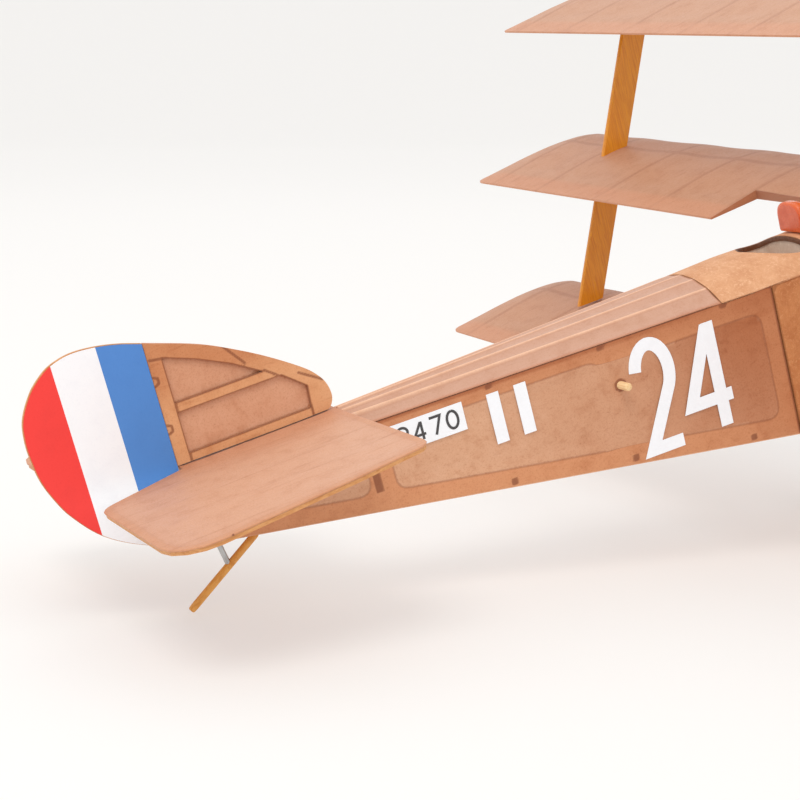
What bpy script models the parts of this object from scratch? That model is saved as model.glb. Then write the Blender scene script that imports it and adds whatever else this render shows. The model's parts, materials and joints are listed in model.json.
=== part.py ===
"""Rubber-band powered, tissue-covered model of a triplane.

Everything is drawn in the airframe's own axes: +X forward from the rudder hinge line, +Y to port and
+Z up from the top of the tailplane. The empty "airframe" then tips it nose up, so that it stands on
its two wheels and its tail skid.
"""

import math

import bmesh
import bpy
import numpy as np
from mathutils import Matrix, Vector

MM = 0.001

# Clearances and sheet sizes
GAP = 0.3 * MM
SKIN = 0.3 * MM
SHEET = 1.5 * MM
TAIL_SHEET = 1.0 * MM

# Fuselage
TAIL_HALF_WIDTH = 2.3 * MM
SIDE_SLOPE = 0.1
CHEEK_SLOPE = -0.008
CHEEK_X = 183.6 * MM
NOSE_X = 286.0 * MM
FOLD_Z = -5.5 * MM
FOLD_SLOPE = -0.0071
BELLY_Z = -22.7 * MM
BELLY_SLOPE = -0.1694
BELLY_KINK_X = 200.0 * MM
NOSE_BELLY_Z = -46.5 * MM
SIDE_START_X = 6.0 * MM
DECK_TOP = ((49.0, -0.5), (100.0, 0.1), (167.0, 0.2), (185.0, 0.5), (210.0, -0.2), (228.0, 0.6), (286.0, 0.6))
STRINGER_SHARES = (-0.68, -0.35, 0.0, 0.35, 0.68)
FORMERS_X = (53.0 * MM, 90.5 * MM, 126.2 * MM, 167.0 * MM)
BULKHEAD_X = 212.0 * MM
COCKPIT_X = (188.5 * MM, 206.9 * MM)
COCKPIT_HALF_WIDTH = 12.8 * MM
COCKPIT_CORNER = 2.6 * MM
DECK_FRONT_X = 166.9 * MM

# Motor
THRUST_Z = -27.0 * MM
PEG = (129.9 * MM, -19.9 * MM)
PEG_RADIUS = 1.2 * MM
PEG_STANDS_OUT = 4.8 * MM
HOOK_X = 266.6 * MM
HOOK_RADIUS = 4.4 * MM
WIRE_RADIUS = 0.5 * MM
RUBBER_WIDTH = 3.0 * MM
RUBBER_THICKNESS = 1.0 * MM

# Nose
COWL_RADIUS = 27.5 * MM
COWL_FRONT_X = 308.0 * MM
SPIGOT = 12.0 * MM
ENGINE_FRONT_X = 303.0 * MM
CYLINDERS = 9
PROP_RADIUS = 75.0 * MM
PROP_HUB_X = (309.2 * MM, 317.0 * MM)

# Tail
TAIL_LE_X = 48.5 * MM
TAIL_TE_X = -26.7 * MM
FIN_TOP_Z = 35.4 * MM
HINGES_Z = (24.3 * MM, 10.6 * MM)
HINGE_RADIUS = 1.1 * MM
TAIL_RIBS_Y = (4.5 * MM, 17.0 * MM, 32.0 * MM, 47.0 * MM, 61.0 * MM)
TAIL_SPAR_X = 10.0 * MM
# The fin's curved edge from its top to its base, and the rudder's from its foot round to its top, as (x, z)
FIN_CURVE = ((15.6, 29.9), (26.0, 24.6), (33.7, 20.0), (41.5, 14.6), (44.8, 11.7), (47.4, 8.1), (48.3, 4.2),
             (47.6, 1.6), (46.0, 0.3))
RUDDER_CURVE = ((0.0, -20.0), (-7.0, -19.6), (-14.6, -17.4), (-25.1, -10.7), (-32.0, -2.2), (-35.2, 4.5),
                (-36.9, 10.0), (-37.6, 16.5), (-37.5, 21.5), (-36.4, 26.6), (-32.6, 32.6), (-28.6, 36.2),
                (-25.1, 38.1), (-19.5, 39.3), (-12.7, 38.9), (-6.0, 37.5), (0.0, 35.6))
RUDDER_MIDDLE = (-18.0, 9.0)

# Wings
CHORD = 54.6 * MM
INCIDENCE = math.radians(3.6)
DIHEDRAL = math.radians(1.8)
HALF_SPAN = 208.0 * MM
GAP_BETWEEN_WINGS = 54.2 * MM
STAGGER = 26.3 * MM
MIDDLE_TE = (209.3 * MM, 0.5 * MM)
CUTOUT_HALF_SPAN = 43.5 * MM
CUTOUT_X = 228.3 * MM
RIBS_Y = (44.0 * MM, 81.0 * MM, 118.0 * MM, 159.0 * MM, 193.0 * MM)
RIB = 1.5 * MM
TIP_LE_RADIUS = 14.0 * MM
TIP_TE_RADIUS = 6.0 * MM
LOWER_WING_ROOT = 21.5 * MM
# Chord fractions of the frame's leading edge, spar and trailing edge strips
LE_STRIP = (0.045, 0.10)
SPAR = (0.19, 0.235)
TE_STRIP = (0.80, 0.87)
# Airfoil as (fraction of the chord from the leading edge, lower height, upper height), in chords
AIRFOIL = (
    (0.00, 0.010, 0.020),
    (0.03, 0.002, 0.040),
    (0.10, 0.000, 0.060),
    (0.21, 0.000, 0.073),
    (0.35, 0.000, 0.077),
    (0.55, 0.000, 0.066),
    (0.80, 0.000, 0.036),
    (1.00, 0.000, 0.011),
)

# Struts
STRUT_Y = 155.0 * MM
CABANE_Y = 17.0 * MM
STRUT_CHORDS = (0.502, 0.708)
STRUT_THICKNESS = 2.0 * MM
STRUT_RAKE = 0.47

# Undercarriage
AXLE = (249.0 * MM, -92.5 * MM)
WHEEL_RADIUS = 20.4 * MM
TYRE_RADIUS = 2.2 * MM
WHEEL_Y = 49.0 * MM
LEG_FOOT_Y = 42.0 * MM
LEG_TOP_Y = 15.5 * MM
SKID_END = (-7.9 * MM, -41.0 * MM)
SKID_RADIUS = 1.1 * MM


# ---------------------------------------------------------------- scene and materials

for old in list(bpy.data.objects):
    bpy.data.objects.remove(old, do_unlink=True)

SCENE = bpy.context.scene


def new_collection(name):
    made = bpy.data.collections.new(name)
    SCENE.collection.children.link(made)
    return made


PARTS = new_collection("rubber_band_plane")
CUTTERS = new_collection("cutters")
AIRFRAME = bpy.data.objects.new("airframe", None)
PARTS.objects.link(AIRFRAME)


def material(name, colour, roughness=0.6, metallic=0.0):
    made = bpy.data.materials.new(name)
    made.use_nodes = True
    shader = made.node_tree.nodes["Principled BSDF"]
    shader.inputs["Base Color"].default_value = (*colour, 1.0)
    shader.inputs["Roughness"].default_value = roughness
    shader.inputs["Metallic"].default_value = metallic
    made.diffuse_color = (*colour, 1.0)
    return made


BALSA = material("balsa", (0.72, 0.50, 0.28), 0.7)
TISSUE = material("tan_tissue", (0.66, 0.37, 0.22), 0.65)
CARD = material("kraft_card", (0.72, 0.42, 0.22), 0.6)
OCHRE_WOOD = material("ochre_varnished_wood", (0.62, 0.33, 0.05), 0.4)
LEATHER = material("dark_leather", (0.10, 0.045, 0.02), 0.45)
PAD_RED = material("orange_pad", (0.60, 0.11, 0.03), 0.35)
ALUMINIUM = material("aluminium", (0.62, 0.63, 0.64), 0.35, 1.0)
STEEL = material("spring_steel", (0.50, 0.50, 0.50), 0.3, 1.0)
BRASS = material("brass", (0.70, 0.52, 0.22), 0.3, 1.0)
ENGINE_GREY = material("engine_grey", (0.16, 0.16, 0.16), 0.5, 0.4)
PROP_BROWN = material("propeller_brown", (0.22, 0.09, 0.03), 0.35)
RUBBER = material("tan_rubber", (0.55, 0.42, 0.25), 0.55)
TYRE_GREY = material("tyre_grey", (0.10, 0.10, 0.10), 0.8)
BLUE = material("rudder_blue", (0.10, 0.26, 0.65), 0.7)


# ---------------------------------------------------------------- building helpers


def side_sign(side):
    return 1.0 if side == "left" else -1.0


def finish_mesh(name, mesh, finish, smooth=False):
    """An object on the airframe, from a mesh in airframe axes, with its faces turned outwards."""
    work = bmesh.new()
    work.from_mesh(mesh)
    bmesh.ops.remove_doubles(work, verts=work.verts, dist=1e-6)
    bmesh.ops.recalc_face_normals(work, faces=work.faces)
    if work.calc_volume(signed=True) < 0:
        bmesh.ops.reverse_faces(work, faces=work.faces)
    work.to_mesh(mesh)
    work.free()
    if smooth:
        mesh.shade_smooth()
        mesh.set_sharp_from_angle(angle=math.radians(35))
    mesh.materials.clear()
    mesh.materials.append(finish)
    made = bpy.data.objects.new(name, mesh)
    PARTS.objects.link(made)
    made.parent = AIRFRAME
    return made


def mesh_of_curve(curve):
    """The mesh that a curve evaluates to; the curve is removed."""
    holder = bpy.data.objects.new("curve", curve)
    PARTS.objects.link(holder)
    bpy.context.view_layer.update()
    evaluated = holder.evaluated_get(bpy.context.evaluated_depsgraph_get())
    mesh = bpy.data.meshes.new_from_object(evaluated)
    bpy.data.objects.remove(holder, do_unlink=True)
    return mesh


def plate(name, loops, place, finish):
    """A flat outline with holes. place(u, v, t) gives a point, with t from 0 to 1 through the thickness."""
    curve = bpy.data.curves.new(name, "CURVE")
    curve.dimensions = "2D"
    curve.fill_mode = "BOTH"
    curve.extrude = 0.5
    for loop in loops:
        spline = curve.splines.new("POLY")
        spline.points.add(len(loop) - 1)
        for point, (u, v) in zip(spline.points, loop):
            point.co = (u, v, 0.0, 1.0)
        spline.use_cyclic_u = True
    mesh = mesh_of_curve(curve)
    for vertex in mesh.vertices:
        vertex.co = Vector(place(vertex.co.x, vertex.co.y, vertex.co.z + 0.5))
    return finish_mesh(name, mesh, finish)


def loft(name, rings, finish, smooth=False, closed=False):
    """Rings of points, each joined to the next. The ends are capped, or joined to each other if closed."""
    work = bmesh.new()
    rows = [[work.verts.new(point) for point in ring] for ring in rings]
    pairs = list(zip(rows, rows[1:]))
    if closed:
        pairs.append((rows[-1], rows[0]))
    else:
        work.faces.new(rows[0])
        work.faces.new(rows[-1][::-1])
    for first, second in pairs:
        for i, corner in enumerate(first):
            work.faces.new((corner, first[i - 1], second[i - 1], second[i]))
    bmesh.ops.triangulate(work, faces=[face for face in work.faces if len(face.verts) > 4])
    mesh = bpy.data.meshes.new(name)
    work.to_mesh(mesh)
    work.free()
    return finish_mesh(name, mesh, finish, smooth)


def turned(name, profile, centre, axis, finish, steps=24):
    """A solid turned about axis: profile is (radius, place along the axis), round a closed section."""
    turn = Vector((0, 0, 1)).rotation_difference(Vector(axis)).to_matrix()
    rings = []
    for k in range(steps):
        angle = 2 * math.pi * k / steps
        ring = [(r * math.cos(angle), r * math.sin(angle), z) for r, z in profile]
        rings.append([turn @ Vector(point) + Vector(centre) for point in ring])
    on_axis = [r < 1e-6 for r, _ in profile]
    if not any(on_axis):
        return loft(name, rings, finish, smooth=True, closed=True)
    work = bmesh.new()
    points = [turn @ Vector((r, 0, z)) for r, z in profile]
    ring = [work.verts.new(point) for point in points]
    edges = [work.edges.new(pair) for pair in zip(ring, ring[1:])]
    bmesh.ops.spin(
        work, geom=ring + edges, cent=(0, 0, 0), axis=Vector(axis), angle=2 * math.pi, steps=steps
    )
    bmesh.ops.translate(work, verts=work.verts, vec=Vector(centre))
    mesh = bpy.data.meshes.new(name)
    work.to_mesh(mesh)
    work.free()
    return finish_mesh(name, mesh, finish, smooth=True)


def rod(name, points, radius, finish, resolution=2):
    """A round rod or wire along points, with flat ends."""
    curve = bpy.data.curves.new(name, "CURVE")
    curve.dimensions = "3D"
    curve.bevel_depth = radius
    curve.bevel_resolution = resolution
    curve.use_fill_caps = True
    spline = curve.splines.new("POLY")
    spline.points.add(len(points) - 1)
    for point, place in zip(spline.points, points):
        point.co = (*place, 1.0)
    return finish_mesh(name, mesh_of_curve(curve), finish, smooth=True)


def combine(body, others, operation="UNION"):
    """Joins the other objects to the body, or cuts them from it."""
    for other in others:
        PARTS.objects.unlink(other)
        CUTTERS.objects.link(other)
        other.hide_render = True
        other.display_type = "WIRE"
        modifier = body.modifiers.new(other.name, "BOOLEAN")
        modifier.operation = operation
        modifier.solver = "EXACT"
        modifier.object = other
    return body


def rounded(corners, steps=3):
    """An outline with arcs at its corners, from (u, v, corner radius) in order."""
    outline = []
    for i, (u, v, radius) in enumerate(corners):
        corner = np.array((u, v))
        if radius == 0:
            outline.append(tuple(corner))
            continue
        before = np.array(corners[i - 1][:2]) - corner
        after = np.array(corners[(i + 1) % len(corners)][:2]) - corner
        before /= np.linalg.norm(before)
        after /= np.linalg.norm(after)
        half = math.acos(np.clip(before @ after, -1, 1)) / 2
        reach = radius / math.tan(half)
        middle = (before + after) / np.linalg.norm(before + after)
        centre = corner + middle * radius / math.sin(half)
        start = corner + before * reach - centre
        end = corner + after * reach - centre
        turn = math.atan2(start[0] * end[1] - start[1] * end[0], start @ end)
        for k in range(steps + 1):
            angle = turn * k / steps
            c, s = math.cos(angle), math.sin(angle)
            turned_start = np.array((c * start[0] - s * start[1], s * start[0] + c * start[1]))
            outline.append(tuple(centre + turned_start))
    return outline


def circle(u, v, radius, count=12):
    turns = [2 * math.pi * k / count for k in range(count)]
    return [(u + radius * math.cos(a), v + radius * math.sin(a)) for a in turns]


def square(u, v, side):
    h = side / 2
    return [(u - h, v - h), (u + h, v - h), (u + h, v + h), (u - h, v + h)]


# ---------------------------------------------------------------- fuselage shape


def half_width(x):
    if x <= CHEEK_X:
        return TAIL_HALF_WIDTH + SIDE_SLOPE * x
    return TAIL_HALF_WIDTH + SIDE_SLOPE * CHEEK_X + CHEEK_SLOPE * (x - CHEEK_X)


def fold_z(x):
    return FOLD_Z + FOLD_SLOPE * x


def belly_z(x):
    if x <= BELLY_KINK_X:
        return BELLY_Z + BELLY_SLOPE * x
    lowest = BELLY_Z + BELLY_SLOPE * BELLY_KINK_X
    return lowest + (NOSE_BELLY_Z - lowest) * (x - BELLY_KINK_X) / (NOSE_X - BELLY_KINK_X)


def apex_z(x):
    """The top of the rounded deck, on the centre line."""
    xs, zs = zip(*DECK_TOP)
    return float(np.interp(x / MM, xs, zs)) * MM


def deck_arc(x, inset, count=12):
    """Points across the deck's outer face at x, from starboard to port, moved inwards by inset."""
    half = half_width(x) - inset
    rise = apex_z(x) - fold_z(x)
    radius = (half_width(x) ** 2 + rise**2) / (2 * rise)
    centre_z = apex_z(x) - radius
    arc = radius - inset
    ys = [half * math.sin(math.pi / 2 * k / (count / 2)) for k in range(-count // 2, count // 2 + 1)]
    return [(x, y, centre_z + math.sqrt(arc**2 - min(abs(y), arc) ** 2)) for y in ys]


def side_place(side, inset, thickness):
    """Places a side outline (x, z) on the fuselage's side, inset from its outer face."""

    def place(x, z, t):
        return x, side_sign(side) * (half_width(x) - inset - t * thickness), z

    return place


def side_frame(side):
    """A sheet side with a rear and a front opening, and the solid panel that carries the motor peg."""
    inner = SKIN + GAP
    x1 = CHEEK_X - 0.5 * MM
    low = 2 * (SKIN + GAP)
    outline = [
        (SIDE_START_X, belly_z(SIDE_START_X) + low),
        (x1, belly_z(x1) + low),
        (x1, fold_z(x1) - GAP),
        (SIDE_START_X, fold_z(SIDE_START_X) - GAP),
    ]

    def opening(xa, xb, radius):
        top, bottom = 5.5 * MM, 5.8 * MM
        return rounded((
            (xa, belly_z(xa) + bottom, radius),
            (xb, belly_z(xb) + bottom, radius),
            (xb, fold_z(xb) - top, radius),
            (xa, fold_z(xa) - top * 0.7, radius),
        ))

    loops = [outline, opening(12 * MM, 49 * MM, 2 * MM), opening(58 * MM, 120 * MM, 4 * MM),
             opening(141 * MM, 177.7 * MM, 5 * MM), circle(*PEG, PEG_RADIUS + GAP)]
    return plate(f"side_frame_{side}", loops, side_place(side, inner, SHEET), BALSA)


def side_tissue(side):
    x0, x1 = SIDE_START_X, CHEEK_X
    low = SKIN + GAP
    outline = [(x0, belly_z(x0) + low), (x1, belly_z(x1) + low), (x1, fold_z(x1)), (x0, fold_z(x0))]
    loops = [outline, circle(*PEG, PEG_RADIUS + GAP)]
    return plate(f"side_tissue_{side}", loops, side_place(side, 0, SKIN), TISSUE)


def cheek(side):
    """The card-faced sheet side from the cockpit to the nose."""
    x0, x1 = CHEEK_X + GAP, NOSE_X - 2 * MM - GAP
    low = SKIN + GAP
    outline = [(x0, belly_z(x0) + low), (BELLY_KINK_X, belly_z(BELLY_KINK_X) + low), (x1, belly_z(x1) + low),
               (x1, fold_z(x1)), (x0, fold_z(x0))]
    return plate(f"cheek_{side}", [outline], side_place(side, -0.3 * MM, SHEET + SKIN), CARD)


def former(number, x):
    """A fuselage former with a hole that the rubber motor passes through."""
    half = half_width(x) - SKIN - SHEET - 3 * GAP
    low = belly_z(x) + SKIN + GAP
    high = fold_z(x) - GAP
    rim = 3.0 * MM if half > 6 * MM else 1.2 * MM
    crown = [(y, z - 2.6 * MM) for _, y, z in deck_arc(x, SKIN + GAP, 8)]
    arc = [(y, z) for y, z in crown if abs(y) < half and z > high]
    outline = [(half, low), (half, high), *arc[::-1], (-half, high), (-half, low)]
    hole = rounded([(-half + rim, low + rim, rim / 2), (half - rim, low + rim, rim / 2),
                    (half - rim, high - 1.5 * MM, rim / 2), (-half + rim, high - 1.5 * MM, rim / 2)])
    return plate(f"former_{number}", [outline, hole], lambda y, z, t: (x + (t - 0.5) * SHEET, y, z), BALSA)


def cockpit_bulkhead():
    """The former under the windscreen, which carries the instrument panel."""
    half = half_width(BULKHEAD_X) - SHEET - 2 * GAP
    low = belly_z(BULKHEAD_X) + SKIN + GAP
    high = fold_z(BULKHEAD_X) - 2 * GAP
    arc = [(y, z - GAP) for _, y, z in deck_arc(BULKHEAD_X, 2 * SKIN + GAP, 8) if abs(y) < half - 2 * MM]
    outline = [(half, low), (half, high), *arc[::-1], (-half, high), (-half, low)]
    hole = circle(0, THRUST_Z, 11 * MM, 16)
    return plate("cockpit_bulkhead", [outline, hole], lambda y, z, t: (BULKHEAD_X + t * SHEET, y, z), BALSA)


def nose_former():
    """The ply front former, with the square hole that locates the nose plug."""
    loops = [circle(0, THRUST_Z, COWL_RADIUS - 1.3 * MM, 32), square(0, THRUST_Z, SPIGOT + 2 * GAP)]
    return plate("nose_former", loops, lambda y, z, t: (NOSE_X - t * 2 * MM, y, z), BALSA)


def tail_block():
    """The post that closes the fuselage's rear end, and the seat that the tailplane is glued to."""
    low = belly_z(3 * MM)
    x0, x1, x2 = 0.9 * MM, SIDE_START_X - GAP, TAIL_LE_X - GAP
    high = -2.2 * MM - GAP
    outline = [(x0, low), (x1, low), (x1, fold_z(x1) + GAP), (x2, fold_z(x2) + GAP), (x2, high), (x0, high)]
    return plate("tail_block", [outline], lambda x, z, t: (x, (2 * t - 1) * half_width(x), z), BALSA)


def deck_stringers():
    """Five square stringers over the formers, which meet at the tail."""
    tips = []
    front, rear = DECK_FRONT_X - GAP, TAIL_LE_X + 0.6 * MM
    size = 1.4 * MM
    hub_x = rear + 6 * MM
    for share in STRINGER_SHARES:
        rings = []
        for x in (rear, front):
            y = share * half_width(x)
            rise = apex_z(x) - fold_z(x)
            radius = (half_width(x) ** 2 + rise**2) / (2 * rise)
            slope = math.asin(y / radius)
            centre = apex_z(x) - radius
            out = np.array((0, math.sin(slope), math.cos(slope)))
            along = np.array((0, math.cos(slope), -math.sin(slope)))
            outer = np.array((x, 0, centre)) + out * (radius - SKIN - GAP)
            corners = ((0, -1), (0, 1), (-1, 1), (-1, -1))
            rings.append([tuple(outer + out * depth * size + along * w * size / 2) for depth, w in corners])
        tips.append(loft(f"stringer_{len(tips)}", rings, BALSA))
    bridge = []
    for x in (rear, hub_x):
        arc = deck_arc(x, SKIN + GAP + 0.2 * MM, 6)[1:-1]
        bridge.append(arc + [(px, py, pz - 1.2 * MM) for px, py, pz in arc[::-1]])
    joined = loft("deck_stringers", bridge, BALSA)
    return combine(joined, tips)


def deck_shell(name, xs, thickness, finish, lift=0.0):
    rings = []
    for x in xs:
        outer = [(px, py, pz + lift) for px, py, pz in deck_arc(x, 0)]
        inner = [(px, py, pz + lift) for px, py, pz in deck_arc(x, thickness)]
        inner[0] = (x, inner[0][1], outer[0][2])
        inner[-1] = (x, inner[-1][1], outer[-1][2])
        rings.append(outer + inner[::-1])
    return loft(name, rings, finish, smooth=True)


def deck_tissue():
    xs = [TAIL_LE_X + GAP, 70 * MM, 100 * MM, 135 * MM, DECK_FRONT_X - GAP]
    return deck_shell("deck_tissue", xs, SKIN, TISSUE, lift=GAP)


def deck_card():
    """The card deck from the last stringer former to the nose, with the cockpit opening."""
    xs = [DECK_FRONT_X, 176 * MM, 185 * MM, 197 * MM, 210 * MM, 219 * MM, 228 * MM, 257 * MM, NOSE_X]
    deck = deck_shell("deck_card", xs, 2 * SKIN, CARD, lift=GAP)
    cutter = plate("cockpit_cutter", [cockpit_rim(0.0)], lambda x, y, t: (x, y, (t * 20 - 10) * MM), CARD)
    return combine(deck, [cutter], "DIFFERENCE")


def cockpit_rim(inset, count=20):
    """The cockpit opening seen from above, shrunk by inset: round behind the pilot and square in front."""
    rear, front = COCKPIT_X[0] + inset, COCKPIT_X[1] - inset
    half = COCKPIT_HALF_WIDTH - inset
    bend = front - COCKPIT_CORNER
    port = []
    for k in range(count // 2 - 3):
        share = (k / (count // 2 - 3)) ** 1.5
        port.append((rear + (bend - rear) * share, half * (1 - (1 - share) ** 2) ** 0.75))
    for turn in (0, 45, 90):
        c, s = math.cos(math.radians(turn)), math.sin(math.radians(turn))
        port.append((bend + COCKPIT_CORNER * s, half - COCKPIT_CORNER * (1 - c)))
    port += [(front, (half - COCKPIT_CORNER) * share) for share in (0.7, 0.35)]
    starboard = [(x, -y) for x, y in port[:0:-1]]
    return [*port, (front, 0.0), *starboard]


def deck_height(x, y):
    """Height of the card deck's outer face."""
    rise = apex_z(x) - fold_z(x)
    radius = (half_width(x) ** 2 + rise**2) / (2 * rise)
    return apex_z(x) + GAP - radius + math.sqrt(radius**2 - y**2)


def cockpit_coaming():
    """The padded roll round the cockpit, on top of the deck."""
    rings = []
    path = cockpit_rim(-0.9 * MM, 28)
    middle = sum(COCKPIT_X) / 2
    for x, y in path:
        outward = Vector((x - middle, y, 0)).normalized()
        base = Vector((x, y, deck_height(x, y) + GAP + 0.75 * MM))
        ring = []
        for k in range(6):
            angle = 2 * math.pi * k / 6
            ring.append(base + 0.7 * MM * (outward * math.cos(angle) + Vector((0, 0, math.sin(angle)))))
        rings.append(ring)
    return loft("cockpit_coaming", rings, LEATHER, smooth=True, closed=True)


def belly_cover():
    rings = []
    for x in (SIDE_START_X, 60 * MM, 120 * MM, CHEEK_X, BELLY_KINK_X, NOSE_X - 2 * MM - GAP):
        w, z = half_width(x), belly_z(x)
        rings.append([(x, -w, z), (x, w, z), (x, w, z + SKIN), (x, -w, z + SKIN)])
    return loft("belly_cover", rings, TISSUE)


def cockpit_floor():
    """A tray between the sides, above the rubber motor, with the seat's back standing on it."""
    x0, x1 = FORMERS_X[3] + 4 * MM, BULKHEAD_X - GAP
    floor_z = -14.0 * MM

    def half(x):
        return half_width(x) - SHEET - SKIN - 3 * GAP

    floor = plate("cockpit_floor", [[(x0, -half(x0)), (x1, -half(x0)), (x1, half(x0)), (x0, half(x0))]],
                  lambda x, y, t: (x, y, floor_z - t * SHEET), BALSA)
    back = rounded([(-7 * MM, floor_z - 0.5 * MM, 0), (7 * MM, floor_z - 0.5 * MM, 0),
                    (7 * MM, -3.4 * MM, 3 * MM), (-7 * MM, -3.4 * MM, 3 * MM)])
    seat = plate("seat_back", [back], lambda y, z, t: (186 * MM + t * SHEET, y, z), BALSA)
    return combine(floor, [seat])


def windscreen_pad():
    """The padded screen in front of the pilot."""
    x = 209.0 * MM
    foot = deck_height(x, 6 * MM) + 2 * GAP
    base = deck_height(x, 0) + 2 * GAP
    outline = rounded([(-6.3 * MM, foot, 0), (-3 * MM, base - 0.15 * MM, 0), (3 * MM, base - 0.15 * MM, 0),
                       (6.3 * MM, foot, 0), (6.3 * MM, 9.8 * MM, 5.2 * MM),
                       (-6.3 * MM, 9.8 * MM, 5.2 * MM)], 5)
    return plate("windscreen_pad", [outline], lambda y, z, t: (x + t * 3.0 * MM, y, z + GAP), PAD_RED)


# ---------------------------------------------------------------- nose and motor


def cowl():
    """The turned aluminium ring round the dummy engine."""
    wall = 0.8 * MM
    back, front, lip = NOSE_X + GAP, COWL_FRONT_X, 6 * MM
    outer = [(COWL_RADIUS, back)]
    inner = [(COWL_RADIUS - wall, back)]
    for k in range(5):
        angle = math.pi / 2 * k / 4
        outer.append((COWL_RADIUS - lip * (1 - math.cos(angle)), front - lip * (1 - math.sin(angle))))
        inner.append((COWL_RADIUS - wall - (lip - wall) * (1 - math.cos(angle)),
                      front - lip + (lip - wall) * math.sin(angle)))
    return turned("cowl", outer + inner[::-1], (0, 0, THRUST_Z), (1, 0, 0), ALUMINIUM, 32)


def dummy_engine():
    """The crankcase and its ring of cylinders, on a back plate, with a square hole for the plug."""
    back = NOSE_X + GAP
    plate_loops = [circle(0, THRUST_Z, COWL_RADIUS - 1.5 * MM, 36), square(0, THRUST_Z, SPIGOT + 2 * GAP)]
    engine = plate("dummy_engine", plate_loops, lambda y, z, t: (back + t * 1.2 * MM, y, z), ENGINE_GREY)
    case_loops = [circle(0, THRUST_Z, 12.5 * MM, 18), square(0, THRUST_Z, SPIGOT + 2 * GAP)]
    case_back = back + 0.6 * MM
    parts = [plate("crankcase", case_loops,
                   lambda y, z, t: (case_back + t * (ENGINE_FRONT_X - case_back), y, z), ENGINE_GREY)]
    for k in range(CYLINDERS):
        angle = 2 * math.pi * (k + 0.5) / CYLINDERS
        out = Vector((0, math.sin(angle), math.cos(angle)))
        foot = Vector((back + 6.5 * MM, 0, THRUST_Z)) + out * 10 * MM
        profile = ((0, 0), (2.9 * MM, 0), (2.9 * MM, 13 * MM), (2.2 * MM, 14.4 * MM), (0, 14.4 * MM))
        parts.append(turned(f"cylinder_{k}", profile, foot, out, ENGINE_GREY, 10))
    return combine(engine, parts)


def nose_plug():
    """The removable plug: a square spigot with a round flange, bored for the bearing."""
    bore = circle(0, THRUST_Z, 1.5 * MM + GAP, 12)
    plug = plate("nose_plug", [circle(0, THRUST_Z, 9.0 * MM, 24), bore],
                 lambda y, z, t: (ENGINE_FRONT_X + GAP + t * 2.7 * MM, y, z), BALSA)
    spigot = plate("spigot", [square(0, THRUST_Z, SPIGOT), bore],
                   lambda y, z, t: (276 * MM + t * (ENGINE_FRONT_X + 1.5 * MM - 276 * MM), y, z), BALSA)
    return combine(plug, [spigot])


def nose_bearing():
    bore, shank, head = WIRE_RADIUS + GAP, 1.5 * MM, 2.6 * MM
    x0, x1 = 274.5 * MM, ENGINE_FRONT_X + 3 * MM + 2 * GAP
    profile = [(bore, x0), (shank, x0), (shank, x1), (head, x1), (head, x1 + 0.8 * MM), (bore, x1 + 0.8 * MM)]
    return turned("nose_bearing", profile, (0, 0, THRUST_Z), (1, 0, 0), BRASS, 16)


def propeller():
    """A two-bladed propeller: twisted blades lofted out of a round hub."""
    hub_back, hub_front = PROP_HUB_X
    middle = (hub_back + hub_front) / 2
    bore = WIRE_RADIUS + GAP
    hub = turned("propeller", [(bore, hub_back), (4.6 * MM, hub_back), (4.6 * MM, hub_front - 1.5 * MM),
                               (3.4 * MM, hub_front), (bore, hub_front)],
                 (0, 0, THRUST_Z), (1, 0, 0), PROP_BROWN, 20)
    # (share of the radius, chord, thickness), blade angle falling with the radius
    stations = ((0.035, 5.0, 3.4), (0.12, 8.0, 2.6), (0.28, 14.5, 1.9), (0.50, 18.0, 1.5),
                (0.75, 17.0, 1.2), (0.92, 12.0, 0.9), (1.0, 4.5, 0.7))
    blades = []
    for turn in (0, 1):
        rings = []
        for share, chord, thickness in stations:
            reach = share * PROP_RADIUS
            angle = math.radians(62) if share < 0.1 else math.atan2(0.19, share * 0.75)
            along = np.array((math.sin(angle), math.cos(angle)))
            across = np.array((math.cos(angle), -math.sin(angle)))
            ring = []
            section = ((-0.5, 0.0), (-0.25, 0.42), (0.1, 0.55), (0.5, 0.05), (0.1, -0.35), (-0.25, -0.3))
            for c, t in section:
                x, y = along * c * chord * MM + across * t * thickness * MM
                ring.append((middle + x, y, reach))
            rings.append(ring)
        flip = Matrix.Rotation(math.pi * turn, 4, "X")
        place = Matrix.Translation((0, 0, THRUST_Z)) @ flip
        rings = [[place @ Vector(point) for point in ring] for ring in rings]
        blades.append(loft(f"blade_{turn}", rings, PROP_BROWN, smooth=True))
    return combine(hub, blades)


def prop_shaft():
    """The wire shaft: its motor hook inside, and its driving end bent over in front of the hub."""
    points = []
    for k in range(15):
        angle = math.radians(-40 - 284 * k / 14)
        points.append((HOOK_X + HOOK_RADIUS * math.cos(angle), HOOK_RADIUS * math.sin(angle)))
    points += [(HOOK_X + 5.2 * MM, -1.2 * MM), (HOOK_X + 6.4 * MM, -0.3 * MM), (HOOK_X + 8.0 * MM, 0.0)]
    front = PROP_HUB_X[1]
    points += [(front + 1.4 * MM, 0.0), (front + 2.3 * MM, 0.4 * MM), (front + 2.6 * MM, 1.3 * MM),
               (front + 2.6 * MM, 4.0 * MM)]
    return rod("prop_shaft", [(x, y, THRUST_Z) for x, y in points], WIRE_RADIUS, STEEL)


def motor_peg():
    reach = half_width(PEG[0]) + PEG_STANDS_OUT
    return rod("motor_peg", [(PEG[0], -reach, PEG[1]), (PEG[0], reach, PEG[1])], PEG_RADIUS, BALSA, 3)


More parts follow.
